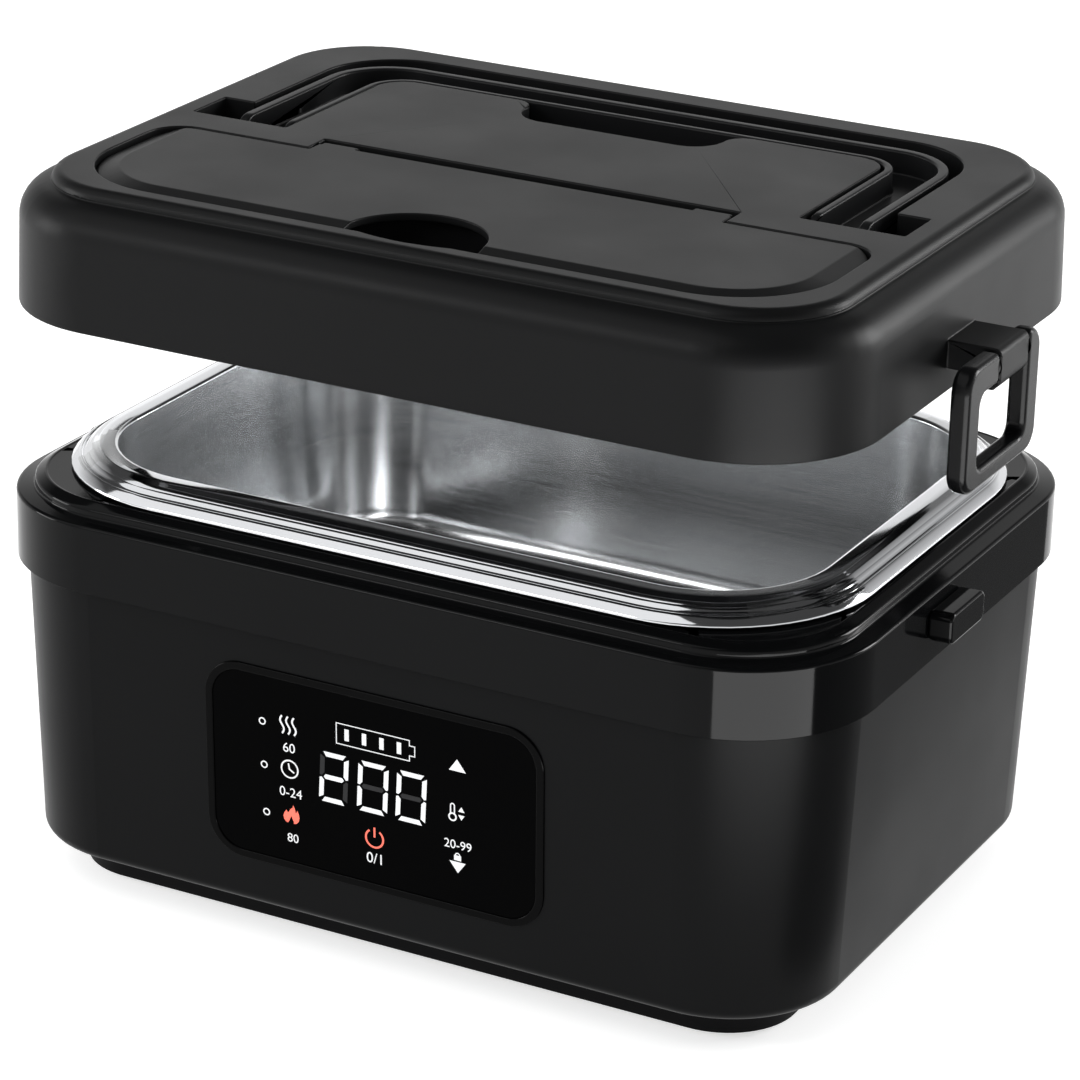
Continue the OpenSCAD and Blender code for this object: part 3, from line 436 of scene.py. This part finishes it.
def settle(name, mesh, modifiers):
    # runs modifiers on a mesh and gives back the plain result
    helper = bpy.data.objects.new(name + "Draft", mesh)
    scene.collection.objects.link(helper)
    for kind, values in modifiers:
        mod = helper.modifiers.new(kind.title(), kind)
        for key, value in values.items():
            if key == "inputs":
                for item in mod.node_group.interface.items_tree:
                    if item.item_type == "SOCKET" and item.in_out == "INPUT" and item.name in value:
                        mod[item.identifier] = value[item.name]
            else:
                setattr(mod, key, value)
    bpy.context.view_layer.update()
    ready = helper.evaluated_get(bpy.context.evaluated_depsgraph_get())
    shaped = bpy.data.meshes.new_from_object(ready)
    shaped.name = name
    bpy.data.objects.remove(helper)
    return shaped


def weighed(mesh):
    # large faces decide the shading, so that small roundings don't bend it
    values = {"mode": "FACE_AREA_WITH_ANGLE", "weight": 50, "keep_sharp": True}
    return settle(mesh.name, mesh, [("WEIGHTED_NORMAL", values)])


def shadeRound(mesh, angle):
    # smooth shading, except over edges sharper than the angle
    bm = bmesh.new()
    bm.from_mesh(mesh)
    for face in bm.faces:
        face.smooth = True
    for edge in bm.edges:
        edge.smooth = len(edge.link_faces) == 2 and edge.calc_face_angle() < math.radians(angle)
    bm.to_mesh(mesh)
    bm.free()


levelRule = {
    "height": 1e-5,  # m, a face that rises less is level
    "upright": 0.9996,  # and so is one whose normal stands this straight
    "sliver": 1e-9,  # square metres, smaller faces don't say which way they look
}


def evenLevels(mesh):
    # level faces are shaded dead level, also where they are split into slivers
    normals = [Vector(corner.vector) for corner in mesh.corner_normals]
    for poly in mesh.polygons:
        heights = [mesh.vertices[i].co.z for i in poly.vertices]
        flat = max(heights) - min(heights) < levelRule["height"]
        if flat or abs(poly.normal.z) > levelRule["upright"]:
            way = -1.0 if poly.normal.z < -0.5 and poly.area > levelRule["sliver"] else 1.0
            for corner in poly.loop_indices:
                normals[corner] = Vector((0, 0, way))
    mesh.normals_split_custom_set(normals)


cadTidy = {
    "weld": 2e-6,  # m, points closer than this become one
    "collapse": 1e-5,  # m, shorter edges go
    "flat": 0.6,  # degrees, faces that bend less become one where a piece asks for it
}


def softEdges(look):
    # the CAD node's form with its sharp edges rounded, as a moulding has them
    bm = bmesh.new()
    bm.from_mesh(nodes[look["node"]].data)
    bmesh.ops.remove_doubles(bm, verts=bm.verts, dist=cadTidy["weld"])
    bmesh.ops.dissolve_degenerate(bm, edges=bm.edges, dist=cadTidy["collapse"])
    if look["tidyFaces"]:
        bend = math.radians(cadTidy["flat"])
        bmesh.ops.dissolve_limit(bm, angle_limit=bend, verts=bm.verts, edges=bm.edges)
    mesh = bpy.data.meshes.new(look["node"] + "Draft")
    bm.to_mesh(mesh)
    bm.free()
    for poly in mesh.polygons:
        poly.use_smooth = True
    rounding = {"width": look["edge"] * mm, "segments": look.get("steps", 3),
                "limit_method": "ANGLE", "angle_limit": math.radians(look.get("angle", 32.0)),
                "use_clamp_overlap": False, "miter_outer": "MITER_ARC", "harden_normals": False}
    shaped = weighed(settle(look["node"], mesh, [("BEVEL", rounding)]))
    if look.get("evenLevels"):
        evenLevels(shaped)
    return shaped


def addRounded(name, look):
    addPiece(name, softEdges(look), look["finish"], look["body"], look["slot"], look["node"])


lidShell = {"node": "lid_shell", "finish": "lidBlack", "body": "lid", "slot": "lid_black",
            "edge": 0.45, "tidyFaces": False, "evenLevels": True}
carryHandle = {"node": "carry_handle", "finish": "handleBlack", "body": "handle",
               "slot": "handle_black", "edge": 0.6, "tidyFaces": False}
cutleryHatch = {"node": "cutlery_cover", "finish": "lidBlack", "body": "cover", "slot": "lid_black",
                "edge": 0.35, "angle": 12.0, "tidyFaces": True, "evenLevels": True}
latchLoop = {"node": "latch_loop_right", "finish": "latchBlack", "body": "latch_right",
             "slot": "latch_black", "edge": 1.5, "steps": 4, "tidyFaces": True}
catchBlock = {"node": "catch_right", "finish": "trimGloss", "body": "base", "slot": "trim_gloss",
              "edge": 0.8, "tidyFaces": True}
panelRim = {"node": "panel_frame", "finish": "rimBlack", "body": "base", "slot": "panel_rim",
            "edge": 0.35, "tidyFaces": True}
panelGlass = {"node": "panel_glass", "finish": "touchGlass", "body": "base", "slot": "panel_glass",
              "edge": 0.25, "tidyFaces": True}

addRounded("lidShell", lidShell)
addRounded("carryHandle", carryHandle)
addRounded("cutleryHatch", cutleryHatch)
addRounded("latchLoopRight", latchLoop)
addRounded("latchLoopLeft", {**latchLoop, "node": "latch_loop_left", "body": "latch_left"})
addRounded("catchRight", catchBlock)
addRounded("catchLeft", {**catchBlock, "node": "catch_left"})
addRounded("panelRim", panelRim)
addRounded("panelGlass", panelGlass)
tell("moulded pieces")


# the plan that trim ring and tray are measured from
basePlan = {"width": 240.0, "depth": 181.0}

trayForm = {
    "steps": 14,  # steps round a corner
    # rim from its foot outside to the mouth: distance in from the base's edge, height
    "rim": ((16.6, 113.6), (13.4, 110.7), (9.2, 110.7), (8.55, 110.8), (8.25, 111.1),
            (8.25, 111.4), (8.45, 111.7), (9.1, 112.35), (9.8, 113.0), (10.3, 113.38),
            (10.5, 113.4), (10.65, 113.55), (10.95, 113.68), (11.25, 113.6), (11.4, 113.45),
            (11.6, 113.55), (12.0, 113.95), (12.5, 114.45), (12.7, 114.5), (12.9, 114.7),
            (13.6, 115.3), (14.2, 115.62), (14.75, 115.75), (15.2, 116.0), (15.8, 116.2),
            (17.0, 116.2), (19.3, 116.2), (19.9, 116.1)),
    "mouth": ((20.3, 115.85), (20.5, 115.4)),
    "corner": 52.0,  # radius as measured at the base's edge
    "mouthIn": 20.5,
    "taper": 5.0,
    "floor": 52.2,
    "floorRound": 9.0,
    "roundSteps": 6,  # steps of the rounded floor edge
    "wall": 0.9,
    "tuck": (19.9, 113.6),  # where the wall meets the rim from below
    "polished": 20.6,  # how far in from the base's edge the rim's polish goes
    "smoothUnder": 38,  # degrees, sharper edges stay sharp
}


def cornerLoop(bm, plan, inset, radius, height, steps):
    # one level ring of points round a rectangle with round corners
    halfX = plan["width"] / 2 - inset - radius
    halfY = plan["depth"] / 2 - inset - radius
    ring = []
    for sideX, sideY, start in ((1, 1, 0), (-1, 1, 90), (-1, -1, 180), (1, -1, 270)):
        for i in range(steps + 1):
            turn = math.radians(start + 90 * i / steps)
            x = sideX * halfX + radius * math.cos(turn)
            y = sideY * halfY + radius * math.sin(turn)
            ring.append(bm.verts.new((x * mm, y * mm, height * mm)))
    return ring


def bridge(bm, ringA, ringB):
    count = len(ringA)
    for i in range(count):
        j = (i + 1) % count
        bm.faces.new((ringA[i], ringA[j], ringB[j], ringB[i]))


def makeTray(form):
    bm = bmesh.new()
    deep = form["floor"] - form["wall"]
    lowIn = form["mouthIn"] + form["taper"]
    bend = form["floorRound"]
    under = bend + form["wall"]  # radius of the rounded floor edge outside
    count = form["roundSteps"]
    turns = [math.radians(90 / count * i) for i in range(count + 1)]
    section = []
    for turn in turns:
        section.append((lowIn + bend - under * math.sin(turn), deep + under * (1 - math.cos(turn))))
    section += [form["tuck"], *form["rim"], *form["mouth"]]
    for turn in reversed(turns):
        section.append((lowIn + bend * (1 - math.sin(turn)),
                        form["floor"] + bend * (1 - math.cos(turn))))
    rings = []
    for inset, height in section:
        radius = form["corner"] - inset
        rings.append(cornerLoop(bm, basePlan, inset, radius, height, form["steps"]))
    for ringA, ringB in zip(rings, rings[1:]):
        bridge(bm, ringA, ringB)
    bm.faces.new(reversed(rings[0]))
    bm.faces.new(rings[-1])
    bmesh.ops.recalc_face_normals(bm, faces=bm.faces)
    mesh = bpy.data.meshes.new("foodTray")
    bm.to_mesh(mesh)
    bm.free()
    shadeRound(mesh, form["smoothUnder"])
    return mesh


trayMesh = weighed(makeTray(trayForm))
trayMesh.materials.append(finishes["traySatin"])
trayMesh.materials.append(finishes["trayPolish"])
rimLow = trayForm["rim"][1][1] * mm
longer = (basePlan["width"] - basePlan["depth"]) / 2 * mm
for poly in trayMesh.polygons:
    reach = max(abs(poly.center.x), abs(poly.center.y) + longer)
    inwards = basePlan["width"] / 2 * mm - reach
    poly.material_index = int(poly.center.z > rimLow and inwards < trayForm["polished"] * mm)
addPiece("foodTray", trayMesh, None, "tray", "tray_steel", "food_tray")
tell("food tray")


trimForm = {
    "width": 240.0, "depth": 181.0, "corner": 36.6, "steps": 16,
    "innerEdge": 14.0,  # where the flat ends inwards
    "innerCorner": 52.0,  # rounder there, like the tray's rim, and measured at the base's edge too
    "smoothUnder": 38,
    # closed section: distance in from the base's edge, height
    "section": ((0.25, 88.0), (0.0, 88.25), (0.0, 105.5), (0.08, 105.9), (0.28, 106.2),
                (0.6, 106.38), (1.0, 106.45), (4.2, 106.92), (4.55, 107.05), (4.75, 107.35),
                (4.8, 107.8), (4.85, 108.5), (4.98, 108.95), (5.3, 109.25), (5.8, 109.5),
                (7.2, 110.32), (7.7, 110.5), (8.1, 110.45), (8.4, 110.3), (14.0, 110.3),
                (14.0, 100.0), (2.4, 100.0), (2.4, 88.0)),
}


def ringTree(finish):
    # sweeps a closed section round a rectangle with round corners
    tree = bpy.data.node_groups.new("trimSweep", "GeometryNodeTree")
    face = tree.interface
    face.new_socket("Section", in_out="INPUT", socket_type="NodeSocketGeometry")
    for name in ("Width", "Depth", "Corner Radius"):
        face.new_socket(name, in_out="INPUT", socket_type="NodeSocketFloat")
    face.new_socket("Corner Steps", in_out="INPUT", socket_type="NodeSocketInt")
    face.new_socket("Ring", in_out="OUTPUT", socket_type="NodeSocketGeometry")
    g = Graph(tree)
    given = g.add("NodeGroupInput").outputs
    plan = g.add("GeometryNodeCurvePrimitiveQuadrilateral")
    g.join(given["Width"], plan.inputs["Width"])
    g.join(given["Depth"], plan.inputs["Height"])
    fillet = g.add("GeometryNodeFilletCurve", mode="POLY")
    g.join(plan.outputs[0], fillet.inputs["Curve"])
    g.join(given["Corner Steps"], fillet.inputs["Count"])
    g.join(given["Corner Radius"], fillet.inputs["Radius"])
    outline = g.add("GeometryNodeMeshToCurve")
    g.join(given["Section"], outline.inputs["Mesh"])
    upright = g.add("GeometryNodeSetCurveNormal", mode="Z_UP")
    g.join(fillet.outputs[0], upright.inputs["Curve"])
    sweep = g.add("GeometryNodeCurveToMesh")
    g.join(upright.outputs[0], sweep.inputs["Curve"])
    g.join(outline.outputs[0], sweep.inputs["Profile Curve"])
    real = g.add("GeometryNodeRealizeInstances")
    g.join(sweep.outputs[0], real.inputs[0])
    paint = g.add("GeometryNodeSetMaterial")
    paint.inputs["Material"].default_value = finish
    g.join(real.outputs[0], paint.inputs["Geometry"])
    out = g.add("NodeGroupOutput")
    g.join(paint.outputs[0], out.inputs[0])
    return tree


def roundInner(bm, form):
    # gives the inner edge its rounder corners, so that the flat reaches the tray's rim there
    halfX, halfY = form["width"] / 2, form["depth"] / 2
    tight = form["corner"] - form["innerEdge"]
    wide = form["innerCorner"] - form["innerEdge"]
    shift = form["innerCorner"] - form["corner"]
    near = 0.01  # mm
    for vert in bm.verts:
        x, y = abs(vert.co.x) / mm, abs(vert.co.y) / mm
        fromX, fromY = x - (halfX - form["corner"]), y - (halfY - form["corner"])
        if min(fromX, fromY) > -near and abs(math.hypot(fromX, fromY) - tight) < near:
            newX = halfX - form["corner"] - shift + fromX * wide / tight
            newY = halfY - form["corner"] - shift + fromY * wide / tight
            vert.co.x = math.copysign(newX * mm, vert.co.x)
            vert.co.y = math.copysign(newY * mm, vert.co.y)


def makeTrimRing(form):
    # the section lies flat, its x pointing away from the middle and its y downwards
    draft = bpy.data.meshes.new("trimSection")
    points = [(-inset * mm, -height * mm, 0) for inset, height in form["section"]]
    edges = [(i, (i + 1) % len(points)) for i in range(len(points))]
    draft.from_pydata(points, edges, [])
    inputs = {"Width": form["width"] * mm, "Depth": form["depth"] * mm,
              "Corner Radius": form["corner"] * mm, "Corner Steps": form["steps"]}
    values = {"node_group": ringTree(finishes["trimGloss"]), "inputs": inputs}
    mesh = settle("trimRing", draft, [("NODES", values)])
    bm = bmesh.new()
    bm.from_mesh(mesh)
    bmesh.ops.remove_doubles(bm, verts=bm.verts, dist=1e-6)
    roundInner(bm, form)
    bmesh.ops.recalc_face_normals(bm, faces=bm.faces)
    bm.to_mesh(mesh)
    bm.free()
    shadeRound(mesh, form["smoothUnder"])
    return weighed(mesh)


addPiece("trimRing", makeTrimRing(trimForm), None, "base", "trim_gloss", "trim_ring")
tell("trim ring")


screwForm = {
    "headRadius": 2.8, "shankRadius": 1.5, "crossWidth": 0.9, "crossSpan": 3.2, "crossDepth": 0.9,
    "smoothUnder": 40,
}

screwSets = {
    # middle of the head's lower face, signs of x and y, head height, shank length
    "caseScrews": {"at": (97.5, 40.0, 5.6), "head": 2.0, "shank": 9.4, "body": "base"},
    "lidScrews": {"at": (108.1, 35.0, 165.6), "head": 1.8, "shank": 9.8, "body": "lid"},
}


def screwTree(finish):
    # puts a screw with a cross recess at each point, its head downwards
    tree = bpy.data.node_groups.new("screwRow", "GeometryNodeTree")
    face = tree.interface
    face.new_socket("Places", in_out="INPUT", socket_type="NodeSocketGeometry")
    for name in ("Head Radius", "Head Height", "Shank Radius", "Shank Length",
                 "Cross Width", "Cross Span", "Cross Depth"):
        face.new_socket(name, in_out="INPUT", socket_type="NodeSocketFloat")
    face.new_socket("Screws", in_out="OUTPUT", socket_type="NodeSocketGeometry")
    g = Graph(tree)
    given = g.add("NodeGroupInput").outputs

    def sized(operation, a, b):
        node = g.add("ShaderNodeMath", operation=operation)
        for source, socket in ((a, node.inputs[0]), (b, node.inputs[1])):
            if isinstance(source, float):
                socket.default_value = source
            else:
                g.join(source, socket)
        return node.outputs[0]

    def lifted(shape, height):
        place = g.add("ShaderNodeCombineXYZ")
        g.join(height, place.inputs["Z"])
        move = g.add("GeometryNodeTransform")
        g.join(shape, move.inputs["Geometry"])
        g.join(place.outputs[0], move.inputs["Translation"])
        return move.outputs[0]

    def rod(radius, length, sides):
        node = g.add("GeometryNodeMeshCylinder")
        node.inputs["Vertices"].default_value = sides
        g.join(radius, node.inputs["Radius"])
        g.join(length, node.inputs["Depth"])
        return node.outputs["Mesh"]

    def bar(spanX, spanY, spanZ):
        size = g.add("ShaderNodeCombineXYZ")
        for source, key in ((spanX, "X"), (spanY, "Y"), (spanZ, "Z")):
            g.join(source, size.inputs[key])
        node = g.add("GeometryNodeMeshCube")
        g.join(size.outputs[0], node.inputs["Size"])
        return node.outputs["Mesh"]

    headMid = sized("MULTIPLY", given["Head Height"], 0.5)
    head = lifted(rod(given["Head Radius"], given["Head Height"], 40), headMid)
    recess = sized("MULTIPLY", given["Cross Depth"], 2.0)
    cut = g.add("GeometryNodeMeshBoolean", operation="DIFFERENCE")
    g.join(head, cut.inputs["Mesh 1"])
    g.join(bar(given["Cross Width"], given["Cross Span"], recess), cut.inputs["Mesh 2"])
    g.join(bar(given["Cross Span"], given["Cross Width"], recess), cut.inputs["Mesh 2"])
    shankMid = sized("ADD", given["Head Height"], sized("MULTIPLY", given["Shank Length"], 0.5))
    shank = lifted(rod(given["Shank Radius"], given["Shank Length"], 24), shankMid)
    whole = g.add("GeometryNodeJoinGeometry")
    g.join(cut.outputs["Mesh"], whole.inputs[0])
    g.join(shank, whole.inputs[0])
    spread = g.add("GeometryNodeInstanceOnPoints")
    g.join(given["Places"], spread.inputs["Points"])
    g.join(whole.outputs[0], spread.inputs["Instance"])
    real = g.add("GeometryNodeRealizeInstances")
    g.join(spread.outputs[0], real.inputs[0])
    paint = g.add("GeometryNodeSetMaterial")
    paint.inputs["Material"].default_value = finish
    g.join(real.outputs[0], paint.inputs["Geometry"])
    out = g.add("NodeGroupOutput")
    g.join(paint.outputs[0], out.inputs[0])
    return tree


screwNodes = screwTree(finishes["pinSteel"])
for name, look in screwSets.items():
    x, y, z = look["at"]
    draft = bpy.data.meshes.new(name + "Places")
    places = [(sx * x * mm, sy * y * mm, z * mm) for sx in (-1, 1) for sy in (-1, 1)]
    draft.from_pydata(places, [], [])
    sizes = {"Head Radius": screwForm["headRadius"], "Head Height": look["head"],
             "Shank Radius": screwForm["shankRadius"], "Shank Length": look["shank"],
             "Cross Width": screwForm["crossWidth"], "Cross Span": screwForm["crossSpan"],
             "Cross Depth": screwForm["crossDepth"]}
    inputs = {key: value * mm for key, value in sizes.items()}
    screws = settle(name, draft, [("NODES", {"node_group": screwNodes, "inputs": inputs})])
    shadeRound(screws, screwForm["smoothUnder"])
    prefix = name[:-len("Screws")] + "_screw_"
    replaced = [prefix + end for end in ("fr", "fl", "rr", "rl")]
    addPiece(name, screws, None, look["body"], "pin_steel", *replaced)
tell("screws")


panelPlace = {
    "face": -86.3035,  # y of the casing's front at the panel's middle
    "height": 50.6,
    "lean": 1.9855,  # degrees, the casing's draft
    "glassFront": 0.3,
    "plate": 0.04,  # thickness of the printed plates
}

panelLean = math.radians(panelPlace["lean"])
panelUp = Vector((0, -math.sin(panelLean), math.cos(panelLean)))
panelOut = Vector((0, -math.cos(panelLean), -math.sin(panelLean)))
panelFrame = Matrix((Vector((1, 0, 0)), panelUp, panelOut)).transposed().to_4x4()
panelFrame.translation = (Vector((0, panelPlace["face"], panelPlace["height"]))
                          + panelOut * panelPlace["glassFront"]) * mm


def plateFace(bm, outline):
    # a flat printed plate from an outline given anticlockwise, in mm on the panel
    top = [bm.verts.new((x * mm, y * mm, panelPlace["plate"] * mm)) for x, y in outline]
    low = [bm.verts.new((x * mm, y * mm, 0)) for x, y in outline]
    bm.faces.new(top)
    bm.faces.new(reversed(low))
    bridge(bm, low, top)


def plateBand(bm, outer, inner):
    # a closed band between two outlines with the same number of points
    rings = []
    top = panelPlace["plate"]
    for outline, height in ((outer, 0), (outer, top), (inner, top), (inner, 0)):
        rings.append([bm.verts.new((x * mm, y * mm, height * mm)) for x, y in outline])
    for ringA, ringB in zip(rings, rings[1:] + rings[:1]):
        bridge(bm, ringA, ringB)


def circlePoints(x, y, radius, count=32, start=0.0, end=360.0):
    full = end - start >= 360
    steps = count if full else count - 1
    turns = [math.radians(start + (end - start) * i / steps) for i in range(count)]
    return [(x + radius * math.cos(turn), y + radius * math.sin(turn)) for turn in turns]


def stroke(bm, points, width):
    # a line of even width through open points, as one plate
    left, right = [], []
    for i, (x, y) in enumerate(points):
        before = Vector(points[max(i - 1, 0)])
        after = Vector(points[min(i + 1, len(points) - 1)])
        along = (after - before).normalized()
        side = Vector((-along.y, along.x)) * width / 2
        left.append((x + side.x, y + side.y))
        right.append((x - side.x, y - side.y))
    for i in range(len(points) - 1):
        plateFace(bm, [right[i], right[i + 1], left[i + 1], left[i]])


def ringBand(bm, x, y, radius, width, count=40):
    outer = circlePoints(x, y, radius + width / 2, count)
    inner = circlePoints(x, y, radius - width / 2, count)
    plateBand(bm, outer, inner)


def boxPoints(x0, y0, x1, y1):
    return [(x0, y0), (x1, y0), (x1, y1), (x0, y1)]


symbols = {
    "line": 0.42,  # width of the drawn lines
    "lamps": ((-31.7, 12.6), (-31.4, 0.5), (-31.0, -12.8)),
    "lampRadius": 0.85,
    "steam": {"xs": (-25.9, -24.15, -22.4), "low": 10.6, "high": 15.5, "sway": 0.55},
    "clock": (-23.9, 0.9, 2.4),
    "flame": (-23.65, -14.3, 2.35, 5.2),  # middle, foot, half width, height
    "battery": (-10.2, 11.4, 11.0, 17.3),
    "cells": 4,
    "cellWidth": 1.25,
    "power": (0.6, -12.6, 2.5),
    "upMark": ((22.0, 11.9), (26.8, 11.9), (24.3, 15.2)),
    "downMark": ((22.1, -13.2), (24.5, -16.3), (26.7, -13.2)),
    "thermometer": (23.0, -0.9, 3.1),
    "lock": (23.4, -12.8, 25.4, -10.8),
}

captions = {
    # plain numbers in place of words: middle, baseline, height of the digits
    "60": (-24.0, 5.6, 2.6), "0-24": (-23.7, -6.9, 2.6), "80": (-23.3, -19.6, 2.4),
    "0/1": (0.8, -19.6, 2.9), "20-99": (24.5, -9.6, 2.4),
}

display = {
    "digits": ((-15.1, -6.9, "2"), (-4.1, 4.6, "0"), (7.0, 15.5, "0")),
    "low": -5.6, "high": 8.4,
    "stroke": 1.3, "gap": 0.4, "lean": 0.05,
}


def drawSteam(bm, look):
    for x in look["xs"]:
        points = []
        for i in range(17):
            share = i / 16
            sway = look["sway"] * math.sin(2 * math.pi * share)
            points.append((x + sway, look["low"] + (look["high"] - look["low"]) * share))
        stroke(bm, points, symbols["line"] * 1.2)


def drawClock(bm, x, y, radius):
    ringBand(bm, x, y, radius, symbols["line"])
    stroke(bm, [(x - 0.05, y - 0.1), (x - 0.35, y + radius * 0.66)], symbols["line"])
    stroke(bm, [(x - 0.15, y + 0.05), (x + radius * 0.55, y - radius * 0.35)], symbols["line"])


flameShape = (
    # sideways from the middle in half widths, upwards in heights, anticlockwise
    (-0.45, 0.0), (-0.30, 0.10), (-0.15, 0.27), (0.02, 0.40), (0.14, 0.24), (0.28, 0.12),
    (0.30, 0.0), (0.62, 0.03), (0.90, 0.17), (1.0, 0.38), (0.92, 0.58), (0.74, 0.76),
    (0.62, 0.60), (0.52, 0.62), (0.46, 0.80), (0.24, 1.0), (0.16, 0.86), (-0.10, 0.76),
    (-0.30, 0.60), (-0.45, 0.55), (-0.62, 0.68), (-0.88, 0.50), (-1.0, 0.34), (-0.92, 0.16),
    (-0.72, 0.04),
)


def drawFlame(bm, x, foot, half, height):
    plateFace(bm, [(x + half * across, foot + height * up) for across, up in flameShape])


def drawBattery(bm, x0, y0, x1, y1):
    line = symbols["line"] * 0.6
    midY = (y0 + y1) / 2
    outer = [(x0, y0), (x1, y0), (x1, midY - 1.5), (x1 + 1.5, midY - 1.5), (x1 + 1.5, midY + 1.5),
             (x1, midY + 1.5), (x1, y1), (x0, y1)]
    inner = [(x0 + line, y0 + line), (x1 - line, y0 + line), (x1 - line, midY - 1.5 + line),
             (x1 + 1.5 - line, midY - 1.5 + line), (x1 + 1.5 - line, midY + 1.5 - line),
             (x1 - line, midY + 1.5 - line), (x1 - line, y1 - line), (x0 + line, y1 - line)]
    plateBand(bm, outer, inner)
    cells = symbols["cells"]
    half = symbols["cellWidth"] / 2
    for i in range(cells):
        mid = x0 + (x1 - x0) * (i + 0.62) / (cells + 0.24)
        plateFace(bm, boxPoints(mid - half, y0 + 1.35, mid + half, y1 - 1.35))


def drawPower(bm, x, y, radius):
    stroke(bm, circlePoints(x, y, radius, 33, 125, 415), symbols["line"] * 1.25)
    stroke(bm, [(x, y + 0.3), (x, y + radius * 1.22)], symbols["line"] * 1.25)


def drawThermometer(bm, x, y, tall):
    ringBand(bm, x, y, 1.0, symbols["line"], 24)
    for side in (-0.55, 0.55):
        stroke(bm, [(x + side, y + 0.8), (x + side, y + tall)], symbols["line"] * 0.8)
    stroke(bm, circlePoints(x, y + tall, 0.55, 9, 0, 180), symbols["line"] * 0.8)
    plateFace(bm, [(x + 1.6, y + 1.8), (x + 3.4, y + 1.8), (x + 2.5, y + 3.2)])
    plateFace(bm, [(x + 1.6, y + 0.9), (x + 2.5, y - 0.5), (x + 3.4, y + 0.9)])


def drawLock(bm, x0, y0, x1, y1):
    plateFace(bm, boxPoints(x0, y0, x1, y1 - 0.6))
    mid = (x0 + x1) / 2
    stroke(bm, circlePoints(mid, y1 - 0.6, 0.62, 13, 0, 180), symbols["line"] * 0.7)


def segmentShapes(x0, x1, look):
    # the seven bars of one digit: slanted ends at the corners, pointed ones at the middle
    t = look["stroke"]
    gap = look["gap"]
    low, high = look["low"], look["high"]
    midY = (low + high) / 2

    def flat(edge, inwards):
        return [(x0 + 0.35 * t + gap, edge), (x0 + t + gap, edge + inwards * t),
                (x1 - t - gap, edge + inwards * t), (x1 - 0.35 * t - gap, edge)]

    def tall(edge, inwards, end, back):
        # from the digit's end back to its middle
        return [(edge, end + back * (0.4 * t + gap)), (edge, midY - back * gap),
                (edge + inwards * 0.45 * t, midY - back * 0.6 * gap),
                (edge + inwards * t, midY - back * (gap + 0.5 * t)),
                (edge + inwards * t, end + back * (t + gap))]

    middle = [(x0 + 0.6 * t + gap, midY), (x0 + t + gap, midY - t / 2),
              (x1 - t - gap, midY - t / 2), (x1 - 0.6 * t - gap, midY),
              (x1 - t - gap, midY + t / 2), (x0 + t + gap, midY + t / 2)]
    shapes = {"top": flat(high, -1), "middle": middle, "bottom": flat(low, 1),
              "topLeft": tall(x0, 1, high, -1), "topRight": tall(x1, -1, high, -1),
              "lowLeft": tall(x0, 1, low, 1), "lowRight": tall(x1, -1, low, 1)}
    return {key: [(x + look["lean"] * (y - midY), y) for x, y in shape]
            for key, shape in shapes.items()}


litSegments = {
    "2": ("top", "topRight", "middle", "lowLeft", "bottom"),
    "0": ("top", "topLeft", "topRight", "lowLeft", "lowRight", "bottom"),
}


digitShare = 0.70  # height of a digit as a share of the type's size


def captionMesh(body, x, baseline, tall):
    curve = bpy.data.curves.new("caption", "FONT")
    curve.body = body
    curve.align_x = "CENTER"
    curve.size = tall / digitShare * mm
    curve.extrude = panelPlace["plate"] / 2 * mm
    helper = bpy.data.objects.new("captionDraft", curve)
    scene.collection.objects.link(helper)
    bpy.context.view_layer.update()
    shaped = bpy.data.meshes.new_from_object(
        helper.evaluated_get(bpy.context.evaluated_depsgraph_get()))
    bpy.data.objects.remove(helper)
    shaped.transform(Matrix.Translation((x * mm, baseline * mm, panelPlace["plate"] / 2 * mm)))
    return shaped


def finishPanel(name, bm, finish):
    bmesh.ops.recalc_face_normals(bm, faces=bm.faces)
    mesh = bpy.data.meshes.new(name)
    bm.to_mesh(mesh)
    bm.free()
    mesh.transform(panelFrame)
    addPiece(name, mesh, finish, "base", "panel_glass")


white = bmesh.new()
for x, y in symbols["lamps"]:
    ringBand(white, x, y, symbols["lampRadius"], 0.36, 28)
drawSteam(white, symbols["steam"])
drawClock(white, *symbols["clock"])
drawBattery(white, *symbols["battery"])
plateFace(white, symbols["upMark"])
plateFace(white, symbols["downMark"])
drawThermometer(white, *symbols["thermometer"])
drawLock(white, *symbols["lock"])
for body, (x, baseline, tall) in captions.items():
    white.from_mesh(captionMesh(body, x, baseline, tall))
finishPanel("panelSymbols", white, "symbolWhite")

red = bmesh.new()
drawFlame(red, *symbols["flame"])
drawPower(red, *symbols["power"])
finishPanel("panelSymbolsRed", red, "symbolRed")

lit = bmesh.new()
dark = bmesh.new()
for x0, x1, digit in display["digits"]:
    for key, shape in segmentShapes(x0, x1, display).items():
        plateFace(lit if key in litSegments[digit] else dark, shape)
finishPanel("displayDigits", lit, "symbolWhite")
finishPanel("displayDarkSegments", dark, "segmentDark")
tell("control panel")
